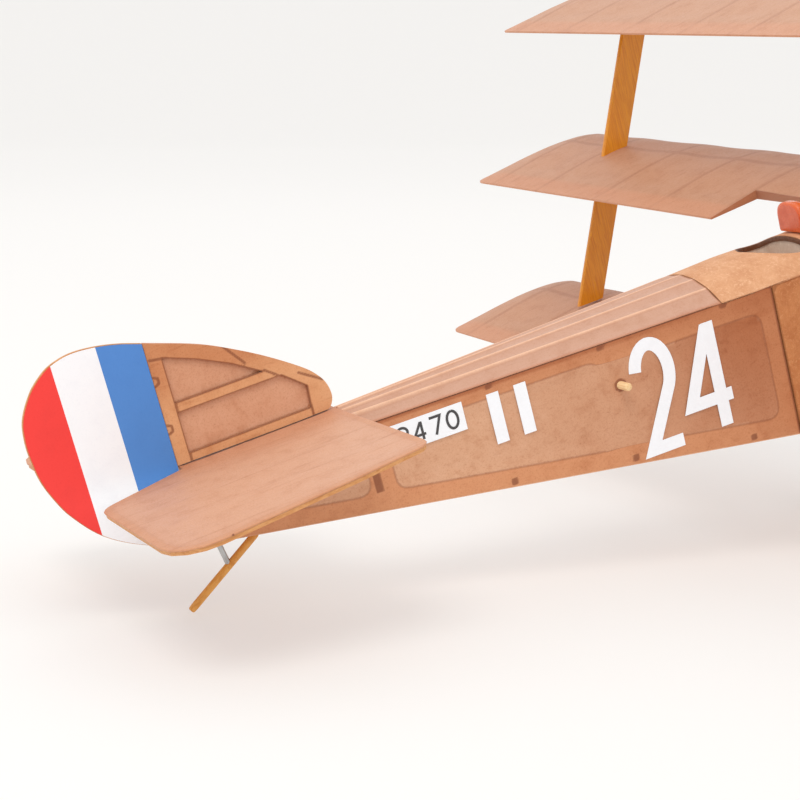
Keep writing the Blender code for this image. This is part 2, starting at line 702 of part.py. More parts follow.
def rubber_motor():
    """A loop of flat rubber from the hook to the peg, hanging a little slack."""
    rear_turn = PEG_RADIUS + GAP + RUBBER_THICKNESS / 2 + 0.1 * MM
    front_turn = WIRE_RADIUS + GAP + RUBBER_THICKNESS / 2
    rear, front = np.array(PEG), np.array((HOOK_X - HOOK_RADIUS, THRUST_Z))
    slope = math.atan2(front[1] - rear[1], front[0] - rear[0])
    along = np.array((math.cos(slope), math.sin(slope)))
    up = np.array((-along[1], along[0]))
    path = []
    for k in range(7):
        angle = math.pi / 2 + math.pi * k / 6
        path.append(rear + rear_turn * (along * math.cos(angle) + up * math.sin(angle)))
    strand = 14
    for k in range(1, strand):
        share = k / strand
        sag = 3.6 * MM * 4 * share * (1 - share)
        path.append(rear + (front - rear) * share - up * (rear_turn + (front_turn - rear_turn) * share + sag))
    for k in range(7):
        angle = -math.pi / 2 + math.pi * k / 6
        path.append(front + front_turn * (along * math.cos(angle) + up * math.sin(angle)))
    for k in range(1, strand):
        share = 1 - k / strand
        sag = 1.6 * MM * 4 * share * (1 - share)
        path.append(rear + (front - rear) * share + up * (rear_turn + (front_turn - rear_turn) * share - sag))
    rings = []
    for k, point in enumerate(path):
        tangent = path[(k + 1) % len(path)] - path[k - 1]
        tangent /= np.linalg.norm(tangent)
        normal = np.array((-tangent[1], tangent[0])) * RUBBER_THICKNESS / 2
        ring = []
        for n, w in ((1, -1), (1, 1), (-1, 1), (-1, -1)):
            x, z = point + n * normal
            ring.append((x, w * RUBBER_WIDTH / 2, z))
        rings.append(ring)
    return loft("rubber_motor", rings, RUBBER, closed=True)


# ---------------------------------------------------------------- tail


def tailplane_outline(inset=0.0):
    """Half of the tailplane from above, as (x, y, corner radius), from the root round to the notch."""
    le, te = TAIL_LE_X - inset, TAIL_TE_X + inset
    return [(le, 60.5 * MM - inset, 5 * MM), (25 * MM, 65 * MM - inset, 30 * MM),
            (te, 72.6 * MM - inset, 11 * MM), (te, 13 * MM + inset, 5 * MM),
            (0.3 * MM + inset, 3.4 * MM + inset, 0)]


def whole_tailplane(inset=0.0):
    port = tailplane_outline(inset)
    starboard = [(x, -y, radius) for x, y, radius in port[::-1]]
    return rounded(port + starboard, 4)


def tailplane_frame():
    """A flat sheet outline with a spar and ribs."""
    strip, half_spar, half_rib = 4.0 * MM, 1.2 * MM, 0.8 * MM
    front_x, rear_x = TAIL_LE_X - strip, TAIL_TE_X + strip
    loops = [whole_tailplane(0.3 * MM)]
    for sign in (-1, 1):
        for a, b in zip(TAIL_RIBS_Y, TAIL_RIBS_Y[1:]):
            ya, yb = a + half_rib, b - half_rib
            front_corner = min(yb, 56 * MM)
            front = [(TAIL_SPAR_X + half_spar, ya), (front_x, ya), (front_x, front_corner),
                     (TAIL_SPAR_X + half_spar, yb)]
            rear = [(TAIL_SPAR_X - half_spar, ya), (TAIL_SPAR_X - half_spar, yb), (rear_x, yb), (rear_x, ya)]
            if a == TAIL_RIBS_Y[0]:
                # The innermost bay is cut back where the elevators make room for the rudder
                rear = [(TAIL_SPAR_X - half_spar, 8.5 * MM), (TAIL_SPAR_X - half_spar, yb),
                        (rear_x + 2 * MM, yb), (-10 * MM, 12.0 * MM)]
            loops += [[(x, sign * y) for x, y in hole] for hole in (front, rear)]
    bottom = -TAIL_SHEET - SKIN - GAP
    return plate("tailplane_frame", loops, lambda x, y, t: (x, y, bottom + t * TAIL_SHEET), BALSA)


def tailplane_tissue():
    return plate("tailplane_tissue", [whole_tailplane()], lambda x, y, t: (x, y, -SKIN * t), TISSUE)


def with_notches(ends):
    """Adds the recesses round the hinges to a straight hinge edge, given by its lower and upper end."""
    x = ends[0][0]
    depth = math.copysign(HINGE_RADIUS + GAP, x)
    half = 1.6 * MM
    edge = [ends[0]]
    for z in sorted(HINGES_Z):
        edge += [(x, z - half), (depth, z - half), (depth, z + half), (x, z + half)]
    edge.append(ends[1])
    return edge


def fin_outline():
    hinge = with_notches([(0.4 * MM, GAP), (0.4 * MM, FIN_TOP_Z)])
    return hinge + [(x * MM, z * MM) for x, z in FIN_CURVE]


def fin_frame():
    """The fin's outline with its post, batten and base rail."""
    upper = [(4.2 * MM, 17.0 * MM), (30.5 * MM, 17.0 * MM), (22.5 * MM, 22.0 * MM), (13.5 * MM, 26.4 * MM),
             (4.2 * MM, 30.0 * MM)]
    lower = [(4.2 * MM, 2.6 * MM), (41.5 * MM, 2.6 * MM), (42.0 * MM, 8.8 * MM), (35.5 * MM, 14.2 * MM),
             (4.2 * MM, 14.2 * MM)]
    return plate("fin_frame", [fin_outline(), upper, lower],
                 lambda x, z, t: (x, (t - 0.5) * TAIL_SHEET, z), BALSA)


def fin_tissue():
    """The covering of the fin's port face; the starboard face shows its bare sheet frame."""
    half = TAIL_SHEET / 2 + GAP
    return plate("fin_tissue", [fin_outline()], lambda x, z, t: (x, half + t * SKIN, z), TISSUE)


def rudder_outline(inset):
    """The rudder's round outline, drawn in about its middle by inset, with the recesses at the hinges."""
    middle = np.array(RUDDER_MIDDLE) * MM
    curve = []
    for x, z in RUDDER_CURVE[1:-1]:
        point = np.array((x, z)) * MM
        towards = middle - point
        point = point + towards / np.linalg.norm(towards) * inset
        curve.append(tuple(point))
    top, bottom = RUDDER_CURVE[-1][1] * MM - inset, RUDDER_CURVE[0][1] * MM + inset
    hinge = with_notches([(-0.4 * MM, bottom), (-0.4 * MM, top)])
    return hinge + curve[::-1]


def rudder_frame():
    outline = rudder_outline(0.0)
    upper = [(-4.4 * MM, 12.4 * MM), (-4.4 * MM, 33.0 * MM), (-13.0 * MM, 35.0 * MM), (-22.0 * MM, 34.4 * MM),
             (-29.0 * MM, 29.6 * MM), (-33.0 * MM, 22.5 * MM), (-33.6 * MM, 12.4 * MM)]
    lower = [(-4.4 * MM, 9.6 * MM), (-33.0 * MM, 9.6 * MM), (-28.6 * MM, -0.6 * MM), (-21.5 * MM, -8.0 * MM),
             (-13.0 * MM, -13.4 * MM), (-4.4 * MM, -15.8 * MM)]
    return plate("rudder_frame", [outline, upper, lower],
                 lambda x, z, t: (x, (t - 0.5) * TAIL_SHEET, z), BALSA)


def rudder_paper(side):
    half = TAIL_SHEET / 2 + GAP
    sign = side_sign(side)
    return plate(f"rudder_paper_{side}", [rudder_outline(0.2 * MM)],
                 lambda x, z, t: (x, sign * (half + t * SKIN), z), BLUE)


def rudder_hinge(name, z):
    profile = [(0, -1.2 * MM), (HINGE_RADIUS, -1.2 * MM), (HINGE_RADIUS, 1.2 * MM), (0, 1.2 * MM)]
    return turned(name, profile, (0, 0, z), (0, 0, 1), ALUMINIUM, 12)


def tail_skid():
    top = Vector((15.0 * MM, 0, belly_z(15 * MM) - GAP - 1.0 * MM))
    end = Vector((SKID_END[0], 0, SKID_END[1] + SKID_RADIUS))
    return rod("tail_skid", [top, end], SKID_RADIUS, OCHRE_WOOD, 3)


def skid_brace():
    """The short metal strut from the tail post down to the skid."""
    x = 5.0 * MM
    top = Vector((x, 0, belly_z(x) - GAP - 0.9 * MM))
    foot = top + Vector((0.6 * MM, 0, -5.2 * MM))
    return rod("tail_skid_brace", [top, foot], 0.8 * MM, ALUMINIUM, 2)


# ---------------------------------------------------------------- wings


class Wing:
    """One wing's place: its trailing edge on the centre line, and the shape of its panels."""

    def __init__(self, name, te, root, cutout=False):
        self.name = name
        self.te = te
        self.root = root
        self.cutout = cutout

    @staticmethod
    def set_back(y, radius):
        """How far a rounded tip corner stands in from the chord's end at y, in chords."""
        over = max(abs(y) - (HALF_SPAN - radius), 0.0)
        return (radius - math.sqrt(max(radius**2 - over**2, 0.0))) / CHORD * 0.9

    def leading(self, y):
        return self.set_back(y, TIP_LE_RADIUS)

    def trailing(self, y):
        return 1.0 - self.set_back(y, TIP_TE_RADIUS)

    def point(self, share, y, height):
        """share is the chord fraction from the leading edge; height is above the flat lower face."""
        back = (1 - share) * CHORD
        x = self.te[0] + back * math.cos(INCIDENCE)
        z = self.te[1] + back * math.sin(INCIDENCE) + abs(y) * math.tan(DIHEDRAL) + height
        return x, y, z


def heights(share):
    shares = [row[0] for row in AIRFOIL]
    low = float(np.interp(share, shares, [row[1] for row in AIRFOIL])) * CHORD
    high = float(np.interp(share, shares, [row[2] for row in AIRFOIL])) * CHORD
    return low, high


def thinning(y):
    """How much thinner the section is near the tip."""
    over = max(abs(y) - (HALF_SPAN - TIP_LE_RADIUS), 0.0) / TIP_LE_RADIUS
    return math.sqrt(1 - 0.85 * over**2)


def wing_ring(wing, y, sign, wall):
    """The section's closed outline at a span station, drawn in by wall."""
    first, last = wing.leading(y), wing.trailing(y)
    if wall:
        first += 0.025
        last -= 0.075
    upper, lower = [], []
    for row in AIRFOIL:
        share = first + (last - first) * row[0]
        low, high = heights(row[0] if not wall else share)
        thin = thinning(y)
        low, high = low * thin + wall, high * thin - wall
        if high < low + 0.08 * MM:
            high = low + 0.08 * MM
        upper.append(wing.point(share, sign * y, high))
        lower.append(wing.point(share, sign * y, low))
    return upper + lower[::-1]


def wing_tissue(wing, side):
    """The covering of one half of a wing: a thin sleeve, closed at the tip and open at the root."""
    sign = side_sign(side)
    outer_in = (TIP_LE_RADIUS, 8 * MM, 4 * MM, 1.2 * MM, 0.0)
    inner_in = (TIP_LE_RADIUS, 6 * MM)
    outer = [wing_ring(wing, y, sign, 0.0) for y in (wing.root, *[HALF_SPAN - d for d in outer_in])]
    inner = [wing_ring(wing, y, sign, SKIN) for y in (wing.root, *[HALF_SPAN - d for d in inner_in])]
    name = f"{wing.name}_tissue_{side}"
    work = bmesh.new()
    for rings in (outer, inner):
        rows = [[work.verts.new(point) for point in ring] for ring in rings]
        for first, second in zip(rows, rows[1:]):
            for i, corner in enumerate(first):
                work.faces.new((corner, first[i - 1], second[i - 1], second[i]))
        work.faces.new(rows[-1])
        if rings is outer:
            rim = rows[0]
        else:
            for i, corner in enumerate(rim):
                work.faces.new((corner, rim[i - 1], rows[0][i - 1], rows[0][i]))
    bmesh.ops.triangulate(work, faces=[face for face in work.faces if len(face.verts) > 4])
    mesh = bpy.data.meshes.new(name)
    work.to_mesh(mesh)
    work.free()
    cover = finish_mesh(name, mesh, TISSUE, smooth=True)
    cutters = []
    if wing.cutout:
        box = [(150 * MM, -1 * MM), (CUTOUT_X, -1 * MM), (CUTOUT_X, CUTOUT_HALF_SPAN),
               (150 * MM, CUTOUT_HALF_SPAN)]
        cutters.append(plate(f"{name}_cutout", [[(x, sign * y) for x, y in box]],
                             lambda x, y, t: (x, y, (20 * t - 8) * MM), TISSUE))
        for y in (STRUT_Y, CABANE_Y):
            cutters.append(strut_body(f"{name}_slot_{round(y / MM)}", side, y, GAP, -1.5, 1.5))
    return combine(cover, cutters, "DIFFERENCE") if cutters else cover


def frame_outline(wing, start):
    """The frame seen from above, as (chord fraction, y), from the root's leading edge round to its rear."""
    tip = HALF_SPAN - 7.5 * MM
    le, te = LE_STRIP[0], TE_STRIP[1]
    corners = [(le, start), (0.08, tip - 8 * MM), (0.2, tip - 1 * MM), (0.7, tip), (te, tip - 3 * MM)]
    if not wing.cutout:
        return [*corners, (te, start)]
    cut = (wing.te[0] + CHORD * math.cos(INCIDENCE) - CUTOUT_X) / CHORD - 0.012
    side_y = CUTOUT_HALF_SPAN + GAP
    return [*corners, (te, side_y), (cut, side_y), (cut, start)]


def frame_bays(wing, start):
    """The openings between the ribs, in front of the spar and behind it."""
    ys = [start, *RIBS_Y, HALF_SPAN - 4 * MM]
    bays = []
    for a, b in zip(ys, ys[1:]):
        ya = a + RIB if a <= RIBS_Y[0] else a + RIB / 2
        yb = b - RIB / 2
        back = TE_STRIP[0]
        if b > RIBS_Y[-1]:
            yb = HALF_SPAN - 10.5 * MM
        if wing.cutout and b <= CUTOUT_HALF_SPAN + 1 * MM:
            back = 0.60
            yb -= 1.5 * MM
        if b <= RIBS_Y[-1]:
            bays.append([(LE_STRIP[1], ya), (SPAR[0], ya), (SPAR[0], yb), (LE_STRIP[1], yb)])
        bays.append([(SPAR[1], ya), (back, ya), (back, yb), (SPAR[1], yb)])
    return bays


def wing_frame(wing, side):
    """One half of a wing's frame: edges, spar and ribs, as a ladder bent to the section's heights."""
    sign = side_sign(side)
    start = 0.0 if wing.root < GAP else wing.root + GAP

    def place(share, y, t):
        low, high = heights(share)
        thin = thinning(y)
        low, high = low * thin + SKIN + GAP, high * thin - SKIN - GAP
        high = max(high, low + 0.2 * MM)
        return wing.point(share, sign * y, low + (high - low) * t)

    name = f"{wing.name}_frame" if start == 0.0 and side == "left" else f"{wing.name}_frame_{side}"
    frame = plate(name, [frame_outline(wing, start), *frame_bays(wing, start)], place, BALSA)
    if not wing.cutout:
        return frame
    slots = [strut_body(f"{wing.name}_frame_{side}_slot_{round(y / MM)}", side, y, GAP, -1.5, 1.5)
             for y in (STRUT_Y, CABANE_Y)]
    return combine(frame, slots, "DIFFERENCE")


# ---------------------------------------------------------------- struts and undercarriage


def strut_body(name, side, y, extra, low_wing, high_wing, low_trim=0.0, high_trim=0.0):
    """A broad flat strut with rounded edges, between heights given in wing gaps from the middle wing."""
    sign = side_sign(side)
    middle_x = MIDDLE_TE[0] + sum(STRUT_CHORDS) / 2 * CHORD
    half_chord = (STRUT_CHORDS[1] - STRUT_CHORDS[0]) / 2 * CHORD + extra
    half_thick = STRUT_THICKNESS / 2 + extra
    base_z = MIDDLE_TE[1] + 2.3 * MM + y * math.tan(DIHEDRAL)
    rings = []
    for wings, trim in ((low_wing, low_trim), (high_wing, -high_trim)):
        z = base_z + wings * GAP_BETWEEN_WINGS + trim
        x = middle_x + STRUT_RAKE * (z - base_z)
        ring = []
        for u, v in ((-1, -0.5), (-0.92, -1), (0.92, -1), (1, -0.5),
                     (1, 0.5), (0.92, 1), (-0.92, 1), (-1, 0.5)):
            ring.append((x + u * half_chord, sign * y + v * half_thick, z))
        rings.append(ring)
    return loft(name, rings, OCHRE_WOOD)


def interplane_strut(side):
    """One strut from the lower wing through the middle wing to the upper wing."""
    return strut_body(f"interplane_strut_{side}", side, STRUT_Y, 0.0, -1, 1, 4.9 * MM, 1.0 * MM)


def cabane_strut(side):
    """From the deck's edge through the middle wing to the upper wing."""
    foot = GAP_BETWEEN_WINGS - 6.6 * MM
    return strut_body(f"cabane_strut_{side}", side, CABANE_Y, 0.0, -1, 1, foot, 1.0 * MM)


def undercarriage(side):
    """A V of flat struts from the belly to the axle."""
    sign = side_sign(side)
    top = Vector((0, sign * LEG_TOP_Y, -56.0 * MM))
    down = Vector((0, sign * LEG_FOOT_Y, AXLE[1])) - top
    length = down.length
    down.normalize()
    normal = Vector((1, 0, 0)).cross(down)
    reach = 3.0 * MM

    def leg_top(x):
        return (x, (belly_z(x) - 1.1 * MM - top.z) / down.z)

    outline = [leg_top(219 * MM), leg_top(223.5 * MM), (AXLE[0] - 1.2 * MM, length - 6.5 * MM),
               leg_top(261.5 * MM), leg_top(266 * MM), (AXLE[0] + reach, length),
               (AXLE[0] + reach * 0.7, length + 3.6 * MM), (AXLE[0] - reach * 0.7, length + 3.6 * MM),
               (AXLE[0] - reach, length)]
    # The wire meets the sloping plate at an angle, so its hole is a slot
    hole = [(AXLE[0] + u * 1.15 * MM, length + v * 2.2 * MM) for u, v in circle(0, 0, 1, 12)]

    def place(x, v, t):
        return Vector((x, top.y, top.z)) + down * v + normal * (t - 0.5) * 1.6 * MM

    return plate(f"undercarriage_{side}", [outline, hole], place, OCHRE_WOOD)


def axle():
    """The wire axle, with the collars that keep each wheel in place."""
    inner, outer = WHEEL_Y - 2.9 * MM, WHEEL_Y + 2.9 * MM
    profile = [(0, -outer - 1 * MM)]
    for sign in (-1, 1):
        spots = [(outer + 1 * MM, 1.7), (outer, 1.7), (outer, 0.8), (inner, 0.8), (inner, 1.7),
                 (inner - 1 * MM, 1.7), (inner - 1 * MM, 0.8)]
        if sign > 0:
            spots.reverse()
        profile += [(radius * MM, sign * place) for place, radius in spots]
    profile.append((0, outer + 1 * MM))
    return turned("axle", profile, (AXLE[0], 0, AXLE[1]), (0, 1, 0), STEEL, 12)


def wheel(side):
    """A disc wheel with coned faces, bored for the axle."""
    rim = WHEEL_RADIUS - 2 * TYRE_RADIUS - GAP
    profile = [(1.1 * MM, -2.6 * MM), (2.4 * MM, -2.6 * MM), (rim, -0.9 * MM), (rim, 0.9 * MM),
               (2.4 * MM, 2.6 * MM), (1.1 * MM, 2.6 * MM)]
    centre = (AXLE[0], side_sign(side) * WHEEL_Y, AXLE[1])
    return turned(f"wheel_{side}", profile, centre, (0, 1, 0), CARD, 28)


def tyre(side):
    section = []
    for k in range(8):
        angle = 2 * math.pi * (k + 0.5) / 8
        radius = WHEEL_RADIUS - TYRE_RADIUS + TYRE_RADIUS * math.cos(angle)
        section.append((radius, TYRE_RADIUS * math.sin(angle)))
    centre = (AXLE[0], side_sign(side) * WHEEL_Y, AXLE[1])
    return turned(f"tyre_{side}", section, centre, (0, 1, 0), TYRE_GREY, 28)


# ---------------------------------------------------------------- assembly

SIDES = ("left", "right")
UPPER = Wing("upper_wing", (MIDDLE_TE[0] + STAGGER, MIDDLE_TE[1] + GAP_BETWEEN_WINGS), GAP / 2)
MIDDLE = Wing("middle_wing", MIDDLE_TE, GAP / 2, cutout=True)
LOWER = Wing("lower_wing", (MIDDLE_TE[0] - STAGGER, MIDDLE_TE[1] - GAP_BETWEEN_WINGS), LOWER_WING_ROOT)

for hand in SIDES:
    side_frame(hand)
    side_tissue(hand)
    cheek(hand)
    rudder_paper(hand)
    for plane in (UPPER, MIDDLE, LOWER):
        wing_tissue(plane, hand)
    wing_frame(LOWER, hand)
    interplane_strut(hand)
    cabane_strut(hand)
    undercarriage(hand)
    wheel(hand)
    tyre(hand)
for plane in (UPPER, MIDDLE):
    combine(wing_frame(plane, "left"), [wing_frame(plane, "right")])
for count, place_x in enumerate(FORMERS_X):
    former(count + 1, place_x)
cockpit_bulkhead()
nose_former()
tail_block()
deck_stringers()
deck_tissue()
deck_card()
cockpit_coaming()
belly_cover()
cockpit_floor()
windscreen_pad()
cowl()
dummy_engine()
nose_plug()
nose_bearing()
propeller()
prop_shaft()
motor_peg()
rubber_motor()
tailplane_frame()
tailplane_tissue()
fin_frame()
fin_tissue()
rudder_frame()
rudder_hinge("rudder_hinge_upper", HINGES_Z[0])
rudder_hinge("rudder_hinge_lower", HINGES_Z[1])
tail_skid()
skid_brace()
axle()


def stand_on_the_ground():
    """Tips the airframe nose up until the wheels and the skid touch z = 0, and centres its box."""
    dx, dz = AXLE[0] - SKID_END[0], AXLE[1] - SKID_END[1]
    ground_angle = math.asin(WHEEL_RADIUS / math.hypot(dx, dz)) - math.atan2(dz, dx)
    turn = Matrix.Rotation(-ground_angle, 4, "Y")
    AIRFRAME.rotation_euler = turn.to_euler()
    skid_height = (turn @ Vector((SKID_END[0], 0, SKID_END[1]))).z
    bpy.context.view_layer.update()
    graph = bpy.context.evaluated_depsgraph_get()
    xs = []
    for obj in PARTS.objects:
        if obj.type == "MESH":
            for corner in obj.evaluated_get(graph).bound_box:
                xs.append((obj.matrix_world @ Vector(corner)).x)
    AIRFRAME.location = (-(min(xs) + max(xs)) / 2, 0, -skid_height)


stand_on_the_ground()
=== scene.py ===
import json
import math

import bmesh
import bpy
import numpy as np
from mathutils import Matrix, Vector


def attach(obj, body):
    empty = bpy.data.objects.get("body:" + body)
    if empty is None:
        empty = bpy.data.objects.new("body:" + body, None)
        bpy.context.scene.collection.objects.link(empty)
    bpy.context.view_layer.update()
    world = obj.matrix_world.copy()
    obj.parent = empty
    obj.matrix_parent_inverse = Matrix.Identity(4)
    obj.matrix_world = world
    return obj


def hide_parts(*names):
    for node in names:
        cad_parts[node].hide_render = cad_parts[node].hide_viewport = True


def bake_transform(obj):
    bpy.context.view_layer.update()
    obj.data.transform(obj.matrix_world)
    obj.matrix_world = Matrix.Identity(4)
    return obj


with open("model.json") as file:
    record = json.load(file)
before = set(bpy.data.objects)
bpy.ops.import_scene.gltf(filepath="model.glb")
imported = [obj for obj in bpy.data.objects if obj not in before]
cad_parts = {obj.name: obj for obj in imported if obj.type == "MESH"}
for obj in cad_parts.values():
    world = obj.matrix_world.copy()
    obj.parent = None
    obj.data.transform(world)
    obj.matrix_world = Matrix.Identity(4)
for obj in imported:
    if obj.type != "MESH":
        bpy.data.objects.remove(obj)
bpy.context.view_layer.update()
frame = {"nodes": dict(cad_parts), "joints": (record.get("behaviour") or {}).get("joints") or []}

# Everything is built in the airframe's own axes, in millimetres: X forward from the rudder hinge line,
# Y to port, Z up from the top of the tailplane. The record's joints give those axes.
JOINTS = {joint["name"]: joint for joint in frame["joints"]}
ORIGIN = np.array(JOINTS["rudder_trim"]["pos_m"])
AXIS_X = np.array(JOINTS["propeller_spin"]["axis"])
AXIS_Z = np.array(JOINTS["rudder_trim"]["axis"])
TURN = np.column_stack([AXIS_X, np.cross(AXIS_Z, AXIS_X), AXIS_Z])


def to_world(points):
    return np.asarray(points, float) * 0.001 @ TURN.T + ORIGIN


def to_air(points):
    return (np.asarray(points, float) - ORIGIN) @ TURN * 1000.0


def local(node):
    """A CAD node's vertices in airframe axes, in millimetres."""
    return to_air([vertex.co for vertex in frame["nodes"][node].data.vertices])


def span(points, column=0):
    return float(points[:, column].min()), float(points[:, column].max())


def at_x(points, x, column, pick):
    """The lowest or highest value of a column among the points at a station, or None without any."""
    near = np.abs(points[:, 0] - x) < 0.02
    return float(pick(points[near, column])) if near.any() else None


def profile_of(points, pick):
    """The lowest or highest z at each station that has points."""
    found = [(x, at_x(points, x, 2, pick)) for x in sorted({round(float(v), 1) for v in points[:, 0]})]
    return np.array([pair for pair in found if pair[1] is not None])


# ---- shape, read off the CAD nodes

SIDE = local("side_tissue_left")
SIDE_X = span(SIDE)
HALF_WIDTHS = [at_x(SIDE, x, 1, np.max) for x in SIDE_X]
FOLD_ZS = [at_x(SIDE, x, 2, np.max) for x in SIDE_X]
BELLY_ZS = [at_x(SIDE, x, 2, np.min) for x in SIDE_X]
CARD = local("deck_card")
CARD_X = span(CARD)
CHEEK = local("cheek_left")
CHEEK_X = span(CHEEK)
PEG = local("motor_peg").mean(axis=0)
THRUST = -27.0
NOSE_HALF_WIDTH = at_x(CHEEK, CHEEK_X[1], 1, np.max) - 0.3


def line(x, xs, values):
    return values[0] + (values[1] - values[0]) * (x - xs[0]) / (xs[1] - xs[0])


def half_width(x):
    """Half the fuselage's width: two straight runs, which meet at the front of the tissue."""
    rear = line(x, SIDE_X, HALF_WIDTHS)
    ahead = line(x, (SIDE_X[1], CHEEK_X[1]), (HALF_WIDTHS[1], NOSE_HALF_WIDTH))
    return np.where(np.asarray(x) <= SIDE_X[1], rear, ahead)


def fold_z(x):
    return line(x, SIDE_X, FOLD_ZS)


def belly_z(x):
    return line(x, SIDE_X, BELLY_ZS)


DECK = local("deck_tissue")
DECK_X = span(DECK)
REAR_APEX = [at_x(DECK, x, 2, np.max) for x in DECK_X]
APEX = profile_of(CARD, np.max)
APEX = APEX[(APEX[:, 0] <= 187) | (APEX[:, 0] >= 209)]  # the cockpit opening has no apex


def apex_z(x):
    rear = line(x, DECK_X, REAR_APEX)
    return np.where(np.asarray(x) < DECK_X[1], rear, np.interp(x, APEX[:, 0], APEX[:, 1]))


def deck_z(x, y):
    """Height of the round deck's outer face."""
    half, top = half_width(x), apex_z(x)
    rise = top - fold_z(x) - 0.3
    radius = (half**2 + rise**2) / (2 * rise)
    return top - radius + np.sqrt(np.maximum(radius**2 - np.asarray(y) ** 2, 0.0))


# ---- meshes


def put_in_scene(name, data):
    made = bpy.data.objects.new(name, data)
    bpy.context.scene.collection.objects.link(made)
    return made


def outward(mesh):
    work = bmesh.new()
    work.from_mesh(mesh)
    bmesh.ops.recalc_face_normals(work, faces=work.faces)
    work.to_mesh(mesh)
    work.free()


def add_object(name, points, faces, finish, replaced=(), **rest):
    """A piece from points in airframe millimetres, in place of the CAD nodes that it replaces."""
    mesh = bpy.data.meshes.new(name)
    mesh.from_pydata(to_world(points).tolist(), [], [list(face) for face in faces])
    return dress(name, mesh, finish, replaced, **rest)


def dress(name, mesh, finish, replaced, body="airframe", slot=None, attributes=None, sharp=30.0):
    """The mesh as a piece that rides on a body, or stays fixed where it stands when given two bodies, with
    its faces turned outwards.
    """
    for key, values in (attributes or {}).items():
        mesh.attributes.new(key, "FLOAT", "POINT").data.foreach_set("value", np.asarray(values, np.float32))
    outward(mesh)
    mesh.shade_smooth()
    mesh.set_sharp_from_angle(angle=math.radians(sharp))
    mesh.materials.clear()
    mesh.materials.append(finish)
    made = put_in_scene(name, mesh)
    if isinstance(body, str):
        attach(made, body)
    else:
        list(body)
        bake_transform(made)
    if replaced:
        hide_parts(*replaced)
    slot = slot or SLOT_OF[finish]
    return made


def ring_faces(rings, count, closed_ring=True, closed_path=False, start=0):
    """Quads between rings of count points each, stored one after another."""
    faces = []
    for r in range(rings if closed_path else rings - 1):
        a, b = start + r * count, start + (r + 1) % rings * count
        for i in range(count if closed_ring else count - 1):
            j = (i + 1) % count
            faces.append((a + i, a + j, b + j, b + i))
    return faces


def bar_faces(rings, count, start=0):
    """A closed bar: rings of count points each, with a cap at either end."""
    last = start + (rings - 1) * count
    caps = [tuple(range(start, start + count)), tuple(range(last, last + count))]
    return ring_faces(rings, count, start=start) + caps


def sheet_faces(rows, columns):
    """Two grids of points, stored one after another, and the strip that joins their rims."""
    count = rows * columns
    rim = [k * columns for k in range(rows)] + [(rows - 1) * columns + j for j in range(1, columns)]
    rim += [k * columns + columns - 1 for k in range(rows - 2, -1, -1)] + list(range(columns - 2, 0, -1))
    faces = (ring_faces(rows, columns, closed_ring=False)
             + ring_faces(rows, columns, closed_ring=False, start=count))
    return faces + [(a, b, b + count, a + count) for a, b in zip(rim, rim[1:] + rim[:1])]


def tube(name, path, section, finish, replaced, up, **rest):
    """A section (a, b) carried along a path; section may be a function of the share along it."""
    path = np.asarray(path, float)
    last = len(path) - 1
    points = []
    for k, place in enumerate(path):
        tangent = path[min(k + 1, last)] - path[max(k - 1, 0)]
        tangent /= np.linalg.norm(tangent)
        side = np.cross(tangent, up)
        side /= np.linalg.norm(side)
        over = np.cross(side, tangent)
        ring = section(k / last) if callable(section) else section
        points += [place + side * a + over * b for a, b in ring]
    return add_object(name, points, bar_faces(last + 1, len(ring)), finish, replaced, **rest)


def turns(count):
    return np.arange(count) * 2 * np.pi / count


def turned(name, profile, centre, axis, finish, replaced=(), steps=64, **rest):
    """A closed profile (radius, place along the axis) turned right round."""
    axis = np.asarray(axis, float)
    across = np.cross(axis, (0.0, 1.0, 0.0)) if abs(axis[1]) < 0.9 else np.array((1.0, 0.0, 0.0))
    across /= np.linalg.norm(across)
    other = np.cross(axis, across)
    points = []
    for angle in turns(steps):
        out = across * math.cos(angle) + other * math.sin(angle)
        points += [np.asarray(centre) + out * r + axis * a for r, a in profile]
    faces = ring_faces(steps, len(profile), closed_path=True)
    return add_object(name, points, faces, finish, replaced, **rest)


def rounded(corners, steps=5):
    """An outline with arcs at its corners, from (u, v, radius) in order."""
    outline = []
    for i, (u, v, radius) in enumerate(corners):
        corner = np.array((u, v), float)
        before = np.array(corners[i - 1][:2]) - corner
        after = np.array(corners[(i + 1) % len(corners)][:2]) - corner
        before /= np.linalg.norm(before)
        after /= np.linalg.norm(after)
        half = math.acos(float(np.clip(before @ after, -1, 1))) / 2
        reach = radius / math.tan(half)
        a, b = corner + before * reach, corner + after * reach
        for k in range(steps + 1 if radius else 1):
            t = k / steps
            outline.append((1 - t) ** 2 * a + 2 * t * (1 - t) * corner + t**2 * b)
    return np.array(outline)


def resample(outline, spacing):
    """Points evenly spread round a closed outline, keeping its corners."""
    points = []
    for a, b in zip(outline, np.roll(outline, -1, axis=0)):
        count = max(1, int(round(np.linalg.norm(b - a) / spacing)))
        points += [a + (b - a) * k / count for k in range(count)]
    return np.array(points)


# ---- distances, which the materials turn into edges


def to_segments(u, v, segments):
    """Distance to the nearest of the segments ((ua, va), (ub, vb))."""
    best = np.full(np.shape(u), 99.0)
    for (ua, va), (ub, vb) in segments:
        du, dv = ub - ua, vb - va
        t = np.clip(((u - ua) * du + (v - va) * dv) / (du * du + dv * dv), 0, 1)
        best = np.minimum(best, np.hypot(u - ua - t * du, v - va - t * dv))
    return best


def outline_segments(outline):
    return list(zip(outline, np.roll(np.asarray(outline), -1, axis=0)))


def to_outline(u, v, outline):
    return to_segments(u, v, outline_segments(outline))


